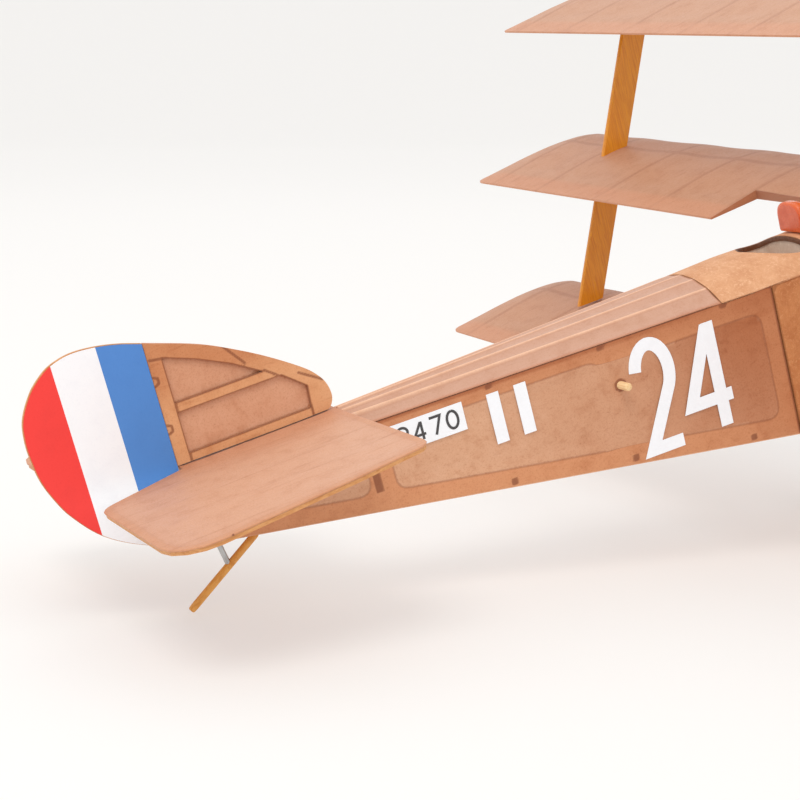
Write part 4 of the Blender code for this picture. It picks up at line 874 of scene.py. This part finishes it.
def deck_share(x, share, depth):
    """The tissue deck: flat facets between the stringers, each a little sunk."""
    at = np.array([deck_z(x, ridge * half_width(x)) for ridge in RIDGES])
    spot = np.searchsorted(RIDGES, share, side="right").clip(1, len(RIDGES) - 1)
    low, high = RIDGES[spot - 1], RIDGES[spot]
    t = (share - low) / (high - low)
    pick = np.arange(len(share))
    z = at[spot - 1, pick] * (1 - t) + at[spot, pick] * t
    flat = smooth(DECK_X[1] - x, 0.0, 5.0)
    ridge = 0.16 * flat * np.exp(-((np.minimum(t, 1 - t) / 0.09) ** 2))
    sunk = (0.12 + 0.30 * flat) * np.sin(np.pi * t) ** 1.5
    return np.column_stack([x, share * half_width(x), z + ridge - sunk - depth])


def deck_features(p):
    half = half_width(p[:, 0])
    # edge: the pale stringer lines, a painted highlight; tone darkens a band along both lower edges; joint:
    # dark lines at both ends, where the deck meets the card and the tail, joints with their painted shadow.
    gap = np.min([np.abs(p[:, 1] - ridge * half) for ridge in RIDGES[1:-1]], axis=0)
    ends = np.minimum(DECK_X[1] - p[:, 0], p[:, 0] - DECK_X[0])
    tone = 0.55 * smooth(np.abs(p[:, 1]) / half, 0.93, 1.0)
    return {"edge": 0.4 - gap, "joint": np.maximum(ends - 0.1, 0), "tone": tone}


spread = 0.5 - 0.5 * np.cos(np.linspace(0, math.pi, 13))
across = np.unique([a + (b - a) * spread for a, b in zip(RIDGES, RIDGES[1:])])
sheet_piece("turtle_deck", np.linspace(*DECK_X, 118), across, deck_share, 0.28, DECK_TISSUE, ["deck_tissue"],
            deck_features, sharp=60.0)

COAMING_BOX = local("cockpit_coaming")
PIT_X = (span(COAMING_BOX)[0] + 1.6, span(COAMING_BOX)[1] - 1.6)
PIT_HALF = COAMING_BOX[:, 1].max() - 0.8
PIT_CORNER = 2.6
WIDE = 20.0


def pit_rim(inset):
    """The opening from above: round behind the pilot, square with rounded corners in front."""
    rear, front, half = PIT_X[0] + inset, PIT_X[1] - inset, PIT_HALF - inset
    bend, flank = front - PIT_CORNER, half - PIT_CORNER
    share = (np.arange(28) / 28) ** 1.5
    port = list(zip(rear + (bend - rear) * share, half * (1 - (1 - share) ** 2) ** 0.75))
    port += arc(bend, flank, PIT_CORNER, PIT_CORNER, 90, 0, 7)
    port += [(front, flank * left) for left in (0.8, 0.6, 0.4, 0.2)]
    return np.array([*port, (front, 0.0), *((x, -y) for x, y in port[:0:-1])])


def card_place(u, v, t):
    y = v / WIDE * half_width(u)  # the grid is WIDE either side, and the card as wide as the fuselage
    return np.column_stack([u, y, deck_z(u, y) + t])


rim = pit_rim(0.0)
rim_on_card = np.column_stack([rim[:, 0], rim[:, 1] / half_width(rim[:, 0]) * WIDE])
card_outline = [(CARD_X[0], -WIDE), (CARD_X[1], -WIDE), (CARD_X[1], WIDE), (CARD_X[0], WIDE)]
grid_slab("card_deck", card_outline, [rim_on_card], -0.6, 0.0, card_place, KRAFT, ["deck_card"], 1.3,
          lambda u, v: {"edge": np.full(len(u), 9.0)})


def pit_wall(name, inset, high, low, thick, finish, replaced=()):
    """An upright strip round the inside of the cockpit opening, between two depths under the deck."""
    outer, inner = pit_rim(inset), pit_rim(inset + thick)
    z = deck_z(*outer.T)
    soft = thick * 0.4
    section = ((0, low), (0, high - soft), (0.25, high), (0.75, high), (1, high - soft), (1, low))
    rings = [np.column_stack([outer * (1 - share) + inner * share, z + depth]) for share, depth in section]
    points = np.stack(rings, axis=1).reshape(-1, 3)
    return add_object(name, points, ring_faces(len(outer), 6, closed_path=True), finish, replaced, sharp=50.0)


coaming = pit_wall("coaming_strip", 0.05, -0.1, -1.5, 0.7, COAMING, ["cockpit_coaming"])
pit_wall("cockpit_liner", 0.0, -1.45, -10.5, 0.45, LINER)

PAD_BOX = local("windscreen_pad")
pad_low, pad_high = PAD_BOX.min(axis=0), PAD_BOX.max(axis=0)
pad_half = float(pad_high[1])
pad_outline = rounded([(-pad_half, pad_low[2], 0.8), (pad_half, pad_low[2], 0.8),
                       (pad_half, pad_high[2], 5.2), (-pad_half, pad_high[2], 5.2)], 12)
pad_middle = np.array((0, 6.0))
pad = panel("windscreen_cushion", pad_outline, pad_middle, float(pad_low[0]), float(pad_high[0]),
            lambda u, v, t: np.column_stack([t, u, v]), PAD_EDGE, ["windscreen_pad"], edge=0.7, rings=6)
face = panel("windscreen_cushion_face", pad_middle + (pad_outline - pad_middle) * 0.86, pad_middle,
             -0.22, 0.1, lambda u, v, t: np.column_stack([pad_low[0] + t, u, v]), PAD, edge=0.18, rings=6)

# ---- markings: plain numbers and bars on both sides

PLATE_X = (58.6, 81.5)
for side, sign in SIDES:
    def read_forwards(start, end):
        """Places on this side; to port they are turned about the stretch's middle, so that figures read."""
        def place(u, v, t):
            x = u if sign < 0 else start + end - u
            return np.column_stack([x, sign * (half_width(x) + t), v])
        return place

    large = digit("2", 135.0, -42.2, 10.8, 31.5) + digit("4", 150.6, -42.2, 13.4, 31.5)
    ribbon(f"number_{side}", large, 3.9, read_forwards(130.0, 168.0), INK_WHITE)
    bars = [[(x, -24.2), (x, -9.1)] for x in (91.0, 99.6)]
    ribbon(f"bars_{side}", bars, 3.8, read_forwards(89.0, 101.6), INK_WHITE)
    plate = [[(x, -12.65) for x in PLATE_X]]
    ribbon(f"number_plate_{side}", plate, 8.3, read_forwards(*PLATE_X), INK_WHITE)
    small = [stroke for k, figure in enumerate("2470")
             for stroke in digit(figure, 60.8 + 5.1 * k, -15.2, 3.3, 5.1)]
    ribbon(f"plate_figures_{side}", small, 0.75, read_forwards(*PLATE_X), INK_BLACK, low=0.12, high=0.17)

# ---- tail

FIN_JOINTS = [((0.6, 30.4), (5.2, 29.6)), ((20.7, 28.3), (26.3, 20.9)), ((40.4, 13.2), (46.9, 9.0)),
              ((4.3, 2.6), (4.3, 0.5)), ((4.3, 14.2), (4.3, 17.0)), ((31.0, 17.2), (34.4, 14.6)),
              ((41.6, 0.4), (41.6, 3.4)), ((0.3, 25.6), (1.5, 25.1)), ((1.5, 25.1), (1.5, 23.6)),
              ((1.5, 23.6), (0.3, 23.1)), ((0.3, 11.9), (1.5, 11.4)), ((1.5, 11.4), (1.5, 9.9)),
              ((1.5, 9.9), (0.3, 9.4))]
fin_loops = outlines("fin_frame", 1)
FIN_EDGE, RUDDER_EDGE = 0.1, -0.15
FIN_RIMS = [segment for loop in fin_loops[1:] for segment in outline_segments(loop)]


def flat_y(u, v, t):
    return np.column_stack([u, t, v])


def fin_wood_features(u, v):
    # Dark lines along the bays' rims are painted shadow of the wood's step down to the tissue; the FIN_JOINTS
    # lines are the frame's dark joints.
    joint = np.minimum(to_segments(u, v, FIN_JOINTS) - 0.05, to_segments(u, v, FIN_RIMS) + 0.05)
    return {"edge": np.full(len(u), 9.0), "joint": np.maximum(joint, 0), "tone": 0.6 * smooth(v, 13, 26)}


def fin_tissue_features(u, v):
    edge = wood_edge(u, v, fin_loops[1:])
    return {"edge": edge, "joint": np.full(len(u), 9.0), "tone": 0.25 * smooth(v, 14, 20)}


grid_slab("fin_outline", eased(fin_loops[0], FIN_EDGE), fin_loops[1:], -0.5, 0.5, flat_y, FIN_WOOD,
          ["fin_frame"], 0.5, fin_wood_features)
grid_slab("fin_cover", eased(outlines("fin_tissue", 1)[0], 0.4), [], 0.52, 0.95, flat_y, FIN_TISSUE,
          ["fin_tissue"], 0.9, fin_tissue_features)
for side, sign in SIDES:
    node = f"rudder_paper_{side}"
    low, high = sorted((sign * 0.55, sign * 0.95))
    grid_slab(f"rudder_stripes_{side}", eased(outlines(node, 1)[0], RUDDER_EDGE), [], low, high, flat_y,
              STRIPES, [node], 2.0, body="rudder")
rudder_loops = outlines("rudder_frame", 1)
grid_slab("rudder_sheet", eased(rudder_loops[0], RUDDER_EDGE), rudder_loops[1:], -0.5, 0.5, flat_y, EDGE_WOOD,
          ["rudder_frame"], 2.0, body="rudder")

TAIL_RIBS = [rib * sign for rib in (17.0, 32.0, 47.0, 61.0) for sign in (-1, 1)]
tail_loop = outlines("tailplane_tissue", 2)[0]


def tail_features(u, v):
    rim_gap = to_outline(u, v, tail_loop)
    joints = [((-12.0, s * 69.5), (-9.5, s * 72.5)) for s in (-1, 1)] + [((2.0, 0.0), (45.0, 0.0))]
    joint = np.maximum(to_segments(u, v, joints) - np.where(np.abs(v) < 5, 0.75, 0.05), 0)
    tone = 0.30 * (1 - smooth(rim_gap, 0.3, 6.0)) + 0.45 * smooth(-np.abs(v), -24, -3)
    return {"edge": 2.4 - rim_gap, "joint": joint, "tone": tone}


def tail_sag(u, v):
    rib = np.min([np.abs(v - y) for y in (*TAIL_RIBS, -4.5, 4.5)], axis=0)
    return 0.13 * smooth(rib, 0.5, 5.0) * smooth(to_outline(u, v, tail_loop), 3.0, 8.0)


panel("tailplane_cover", tail_loop, (20.0, 0.0), -0.55, 0.0, lambda u, v, t: np.column_stack([u, v, t]),
      TAIL_TISSUE, ["tailplane_tissue"], rings=44, spacing=1.5, features=tail_features, sag=tail_sag)


def rod(name, ends, radius, finish, replaced, foot=1.0, **rest):
    """A round stick with softened ends; foot is the share of the radius left at its lower end."""
    a, b = np.array(ends, float)
    soft = 0.5 * radius / np.linalg.norm(b - a)
    shares = [0, soft * 0.3, soft, 1 - 3 * soft, 1 - soft, 1 - soft * 0.3, 1]
    sizes = [0.55, 0.85, 1.0, 1.0, foot, foot * 0.85, foot * 0.5]
    ring = radius * np.column_stack([np.cos(turns(24)), np.sin(turns(24))])
    up = (0, 0, 1) if abs(b[1] - a[1]) > 1 else (0, 1, 0)
    return tube(name, [a + (b - a) * t for t in shares], lambda t: ring * sizes[int(round(t * 6))], finish,
                replaced, up=up, sharp=50.0, **rest)


skid = local("tail_skid")
skid_top, skid_end = skid[skid[:, 0] > 8].mean(axis=0), skid[skid[:, 0] < 0].mean(axis=0)
skid_top = skid_top + (skid_top - skid_end) * 0.055
rod("skid_dowel", (skid_top, skid_end), 1.1, SKID_WOOD, ["tail_skid"], foot=0.92)
brace = local("tail_skid_brace")
brace_high = brace[:, 2] > brace[:, 2].mean()
brace_top, brace_foot = brace[brace_high].mean(axis=0), brace[~brace_high].mean(axis=0)
brace_foot = brace_foot + (brace_foot - brace_top) * 0.36 + np.array((0.35, 0, 0))
rod("skid_brace", (brace_top, brace_foot), 0.8, ALUMINIUM, ["tail_skid_brace"])
for label in ("lower", "upper"):
    node = f"rudder_hinge_{label}"
    rod(f"rudder_pin_{label}", [(0.0, 0.0, z) for z in span(local(node), 2)], 0.45, STEEL, [node],
        slot="aluminium")
rod("peg_dowel", [(PEG[0], y, PEG[2]) for y in span(local("motor_peg"), 1)], 1.2, PALE_DOWEL, ["motor_peg"])

# ---- wings

CHORD, INCIDENCE, DIHEDRAL = 54.6, math.radians(3.6), math.radians(1.8)
RIBS_Y = (44.0, 81.0, 118.0, 159.0, 193.0)
TIP_FRONT, TIP_REAR = 14.0, 6.0
AIRFOIL = np.array(((0, .010, .020), (.03, .002, .040), (.10, 0, .060), (.21, 0, .073), (.35, 0, .077),
                    (.55, 0, .066), (.80, 0, .036), (1, 0, .011)))
FINE = np.linspace(0, 1, 401)
LOW, HIGH = (np.interp(FINE, AIRFOIL[:, 0], AIRFOIL[:, k]) * CHORD for k in (1, 2))
HIGH[20:-20] = np.convolve(HIGH, np.ones(41) / 41, "same")[20:-20]


def set_back(y, radius, half_span):
    over = np.maximum(np.abs(y) - (half_span - radius), 0.0)
    return (radius - np.sqrt(np.maximum(radius**2 - over**2, 0.0))) / CHORD * 0.9


def wing_panel(name, node, sign, start=None, end=math.inf, cut=None, replaced=()):
    """One closed stretch of a wing, its covering drawn in between the ribs and along the leading edge."""
    box = local(node)
    root, half_span = np.abs(box[:, 1]).min(), np.abs(box[:, 1]).max()
    te_x = box[:, 0].min()
    edge_points = box[box[:, 0] < te_x + 0.05]
    te_z = (edge_points[:, 2] - np.abs(edge_points[:, 1]) * math.tan(DIHEDRAL)).min()
    tip = half_span - TIP_FRONT
    ys = np.arange(root if start is None else start, min(end, tip), 1.55)
    ys = np.append(ys, end if end <= tip else tip + TIP_FRONT * np.sin(np.linspace(0, 1, 16) * math.pi / 2))
    ends = cut or 1.0
    uppers = np.unique(np.concatenate([0.1 * np.linspace(0, 1, 9) ** 1.6, np.linspace(0.1, ends, 32)]))
    lowers = np.unique(np.concatenate([0.1 * np.linspace(0, 1, 5) ** 1.6, np.linspace(0.1, ends, 17)]))
    share = np.concatenate([uppers, lowers[::-1]])
    top = np.concatenate([np.ones(len(uppers), bool), np.zeros(len(lowers), bool)])
    count = len(share)
    y = np.repeat(ys, count)
    s = np.tile(share, len(ys))
    upper = np.tile(top, len(ys))
    first, last = set_back(y, TIP_FRONT, half_span), 1 - set_back(y, TIP_REAR, half_span)
    over = np.maximum(y - tip, 0) / TIP_FRONT
    thin = np.sqrt(np.maximum(1 - 0.93 * over**2, 0))
    stops = np.array((root if root >= 1 else 0.0, *RIBS_Y, half_span))
    bay = np.searchsorted(stops, y, side="right").clip(1, len(stops) - 1)
    width = stops[bay] - stops[bay - 1]
    between = np.sin(np.pi * (y - stops[bay - 1]) / width) ** 2 * np.where(bay == len(stops) - 1, 0.5, 1.0)
    height = np.where(upper, np.interp(s, FINE, HIGH), np.interp(s, FINE, LOW)) * thin
    sunk = 0.45 * between * smooth(s, 0.05, 0.2) * (1 - smooth(s, 0.70, 0.82))
    height = np.where(upper, height - sunk, height + 0.15 * sunk)
    chord = first + (last - first) * s
    back = (1 - chord) * CHORD - 0.75 * between * (1 - smooth(s, 0.0, 0.16))
    points = np.column_stack([te_x + back * math.cos(INCIDENCE), sign * y,
                              te_z + back * math.sin(INCIDENCE) + y * math.tan(DIHEDRAL) + height])
    along = s * CHORD
    rib = np.min([np.abs(y - r) for r in RIBS_Y], axis=0)
    edge = np.maximum.reduce([0.75 - rib, 0.85 - np.abs(along - 15.4), 2.2 - along,
                              4.0 - (half_span - y) - 0.3 * (along - 12).clip(0, 99) / 9])
    tone = smooth(s, 0.83, 0.87) * 0.75 + 0.35 * smooth(-(half_span - y), -6, -1)
    joint = 99.0 if cut is None else np.maximum(np.minimum(ends - s, 1) * CHORD - 0.1, 0)
    made = {"edge": edge, "joint": np.broadcast_to(joint, len(s)), "tone": tone.clip(0, 1)}
    return add_object(name, points, bar_faces(len(ys), count), WING_TISSUE, replaced, attributes=made,
                      sharp=50.0)


CUT_Y, CUT_SHARE = 43.5, 0.651
for side, sign in SIDES:
    for wing in ("upper_wing", "lower_wing"):
        node = f"{wing}_tissue_{side}"
        wing_panel(f"{wing}_cover_{side}", node, sign, replaced=[node])
    node = f"middle_wing_tissue_{side}"
    wing_panel(f"middle_wing_cover_{side}", node, sign, CUT_Y, replaced=[node])
    wing_panel(f"middle_wing_centre_{side}", node, sign, 0.15, CUT_Y, CUT_SHARE)

# ---- nose, engine and propeller

def round_bars(name, rows, finish, across, steps):
    """Short round bars as one piece; each is (place, axis, rings), a ring (radius, place on the axis)."""
    points, faces = [], []
    for place, axis, rings in rows:
        u = np.cross(axis, across)
        u /= np.linalg.norm(u)
        v = np.cross(axis, u)
        faces += bar_faces(len(rings), steps, len(points))
        points += [place + (u * math.cos(t) + v * math.sin(t)) * r + axis * a
                   for r, a in rings for t in turns(steps)]
    return add_object(name, points, faces, finish)


def stick(a, b, radius):
    reach, end = np.linalg.norm(b - a), radius * 0.7
    return a, (b - a) / reach, [(end, 0.0), (radius, 0.2), (radius, reach - 0.2), (end, reach)]


fins, pushrods, bolts = [], [], []
FIN_RINGS = [(3.3, -0.16), (3.4, -0.08), (3.4, 0.08), (3.3, 0.16)]
engine_back, engine_front = span(local("dummy_engine"))
for cylinder in range(9):
    turn = 2 * math.pi * (cylinder + 0.5) / 9
    out = np.array((0.0, math.sin(turn), math.cos(turn)))
    sideways = np.array((0.0, math.cos(turn), -math.sin(turn)))
    fins += [(np.array((engine_back + 6.5, 0, THRUST)) + out * reach, out, FIN_RINGS)
             for reach in np.arange(13.4, 22.6, 1.15)]
    for offset in (-1.3, 1.3):
        a = np.array((engine_front - 4.4, 0, THRUST)) + out * 11.5 + sideways * offset
        b = np.array((engine_back + 9.9, 0, THRUST)) + out * 22.5 + sideways * offset * 0.8
        pushrods.append(stick(a, b, 0.42))
    turn = 2 * math.pi * cylinder / 9
    bolt = np.array((engine_front, 10.9 * math.sin(turn), THRUST + 10.9 * math.cos(turn)))
    bolts.append(stick(bolt - (0.4, 0, 0), bolt + (0.55, 0, 0), 0.55))
round_bars("engine_fins", fins, ENGINE_LIGHT, (1, 0, 0), 28)
round_bars("engine_pushrods", pushrods, STEEL, (0.3, 0.5, 0.8), 10)
round_bars("crankcase_bolts", bolts, STEEL, (0.3, 0.5, 0.8), 10)

HUB_BACK, HUB_FRONT = 309.2, 317.0
PROP_RADIUS = float(local("propeller")[:, 2].max() - THRUST)
# Share of the radius, chord and thickness of a blade
STATIONS = np.array(((0.035, 5.0, 3.4), (0.12, 8.0, 2.6), (0.28, 14.5, 1.9), (0.50, 18.0, 1.5),
                     (0.75, 17.0, 1.2), (0.92, 12.0, 0.9), (1.0, 4.5, 0.7)))
BLADE_COUNT = 28


def blade_ring(share):
    """The section of a blade at a share of the radius, with its pitch and its rounded tip."""
    chord, thick = (np.interp(share, STATIONS[:, 0], STATIONS[:, k]) for k in (1, 2))
    root = 1 - float(smooth(share, 0.06, 0.20))
    angle = math.radians(62) * root + math.atan2(0.19, max(share, 0.1) * 0.75) * (1 - root)
    t = turns(BLADE_COUNT)
    c = -0.5 * np.cos(t)
    bulge = np.sin(t) * np.where(np.sin(t) > 0, 0.5, 0.3) * (1 - 0.25 * c)
    along, across_blade = (math.sin(angle), math.cos(angle)), (math.cos(angle), -math.sin(angle))
    flat = np.outer(c * chord, along) + np.outer(bulge * thick, across_blade)
    flat += ((HUB_BACK + HUB_FRONT) / 2, 0)
    squeeze = math.sqrt(1 - 0.72 * (max(share - 0.9, 0) / 0.1) ** 2)
    flat = flat.mean(axis=0) + (flat - flat.mean(axis=0)) * squeeze
    return np.column_stack([flat, np.full(BLADE_COUNT, share * PROP_RADIUS)])


shares = np.concatenate([np.linspace(0.035, 0.9, 34), 0.9 + 0.1 * np.sin(np.linspace(0.1, math.pi / 2, 9))])
blade = np.vstack([blade_ring(share) for share in shares])
for label, flip, replaced in (("a", 1, ["propeller"]), ("b", -1, ())):
    add_object(f"propeller_blade_{label}", blade * (1, flip, flip) + (0, 0, THRUST),
               bar_faces(len(shares), BLADE_COUNT), PROPELLER, replaced, body="propeller", sharp=50.0)
for name, finish, profile in (
        ("propeller_hub", PROPELLER,
         [(0.8, HUB_BACK), (4.3, HUB_BACK), (4.6, HUB_BACK + 0.4), (4.6, HUB_FRONT - 1.7),
          (4.2, HUB_FRONT - 0.7), (3.4, HUB_FRONT), (0.8, HUB_FRONT)]),
        ("propeller_washer", BRASS,
         [(r, HUB_FRONT + a) for r, a in ((0.8, 0.05), (2.5, 0.05), (2.6, 0.3), (2.5, 0.55), (0.8, 0.55))])):
    turned(name, profile, (0, 0, THRUST), (1, 0, 0), finish, body="propeller", sharp=40)

# ---- wheels

for side, sign in SIDES:
    tyre_box, wheel_box = local(f"tyre_{side}"), local(f"wheel_{side}")
    centre = (tyre_box.min(axis=0) + tyre_box.max(axis=0)) / 2
    bead, reach = (float(np.ptp(tyre_box[:, column])) / 2 for column in (1, 2))
    section = [(reach - bead + bead * math.cos(a), bead * math.sin(a)) for a in turns(18)]
    turned(f"tyre_ring_{side}", section, centre, (0, 1, 0), TYRE, [f"tyre_{side}"], body=f"{side}_wheel",
           sharp=60)
    rim_r = float(np.hypot(wheel_box[:, 0] - centre[0], wheel_box[:, 2] - centre[2]).max())
    half = [(1.1, 2.6), (2.2, 2.6), (2.7, 2.35), (6.0, 1.75), (rim_r - 1.6, 1.05), (rim_r - 0.4, 1.15),
            (rim_r, 0.85)]
    profile = [(r, -y) for r, y in half] + half[::-1]
    turned(f"wheel_disc_{side}", profile, centre, (0, 1, 0), KRAFT_DISC, [f"wheel_{side}"],
           body=f"{side}_wheel", steps=72, sharp=25)

# ---- rubber motor


HOOK_X, SPLIT_X = 262.2, 236.0
STRIP = [point for k, (a, b) in enumerate(((0.3, 1.3), (-0.3, 1.3), (-0.3, -1.3), (0.3, -1.3)))
         for point in arc(a, b, 0.2, 0.2, 90 * k, 90 * k + 90, 4)]


def rubber_path():
    """The loop from the peg forward along the bottom, round the hook and back along the top."""
    rear, front = np.array((PEG[0], PEG[2])), np.array((HOOK_X, THRUST))
    ahead = (front - rear) / np.linalg.norm(front - rear)
    up = np.array((-ahead[1], ahead[0]))
    path = []
    for centre, radius, other, other_radius, sag, side_of in ((rear, 2.1, front, 1.3, 3.6, -1),
                                                              (front, 1.3, rear, 2.1, 1.6, 1)):
        path += [centre + ahead * along + up * over
                 for along, over in arc(0, 0, radius, radius, -90 * side_of, 180 - 90 * side_of, 9)]
        for t in np.linspace(0, 1, 40)[1:-1]:
            off = radius + (other_radius - radius) * t - side_of * sag * 4 * t * (1 - t)
            path.append(centre + (other - centre) * t + up * side_of * off)
    return np.array([(x, 0.0, z) for x, z in path])


def along_thrust(*places):
    return [tuple(float(c) for c in to_world((x, 0.0, THRUST))) for x in places]


# The loop in two stretches, the one round the hook and the rest; neither is attached to a body.
loop = rubber_path()
first, last = np.flatnonzero(loop[:, 0] >= SPLIT_X)[[0, -1]]
to_plug = ("airframe", "nose_plug", *along_thrust(PEG[0] + 3.0, SPLIT_X - 1))
to_hook = ("nose_plug", "propeller", *along_thrust(SPLIT_X + 1, 258.0))
rear_part = np.roll(loop, -last, axis=0)[:len(loop) - (last - first) + 1]
for name, path, body, replaced in (("rubber_loop", rear_part, to_plug, ["rubber_motor"]),
                                   ("rubber_loop_front", loop[first:last + 1], to_hook, ())):
    tube(name, path, STRIP, RUBBER, replaced, body=body, up=(0, 1, 0), sharp=40)

# ---- finishes of the CAD nodes that stay

KEPT = {
    STEEL: ("axle", "prop_shaft"),
    BELLY_TISSUE: ("belly_cover",),
    VARNISH: ("cabane_strut", "interplane_strut", "undercarriage"),
    BALSA_ACROSS: ("cockpit_bulkhead", "former_", "nose_former", "tail_block"),
    BALSA: ("cockpit_floor", "deck_stringers", "side_frame", "nose_plug"),
    SPUN: ("cowl",),
    ENGINE: ("dummy_engine",),
    EDGE_WOOD: ("tailplane_frame", "upper_wing_frame", "middle_wing_frame", "lower_wing_frame"),
    BRASS: ("nose_bearing",),
}
for finish, starts in KEPT.items():
    for node, kept in frame["nodes"].items():
        if node.startswith(starts) and not kept.hide_render:
            for place in kept.material_slots:
                place.material = finish
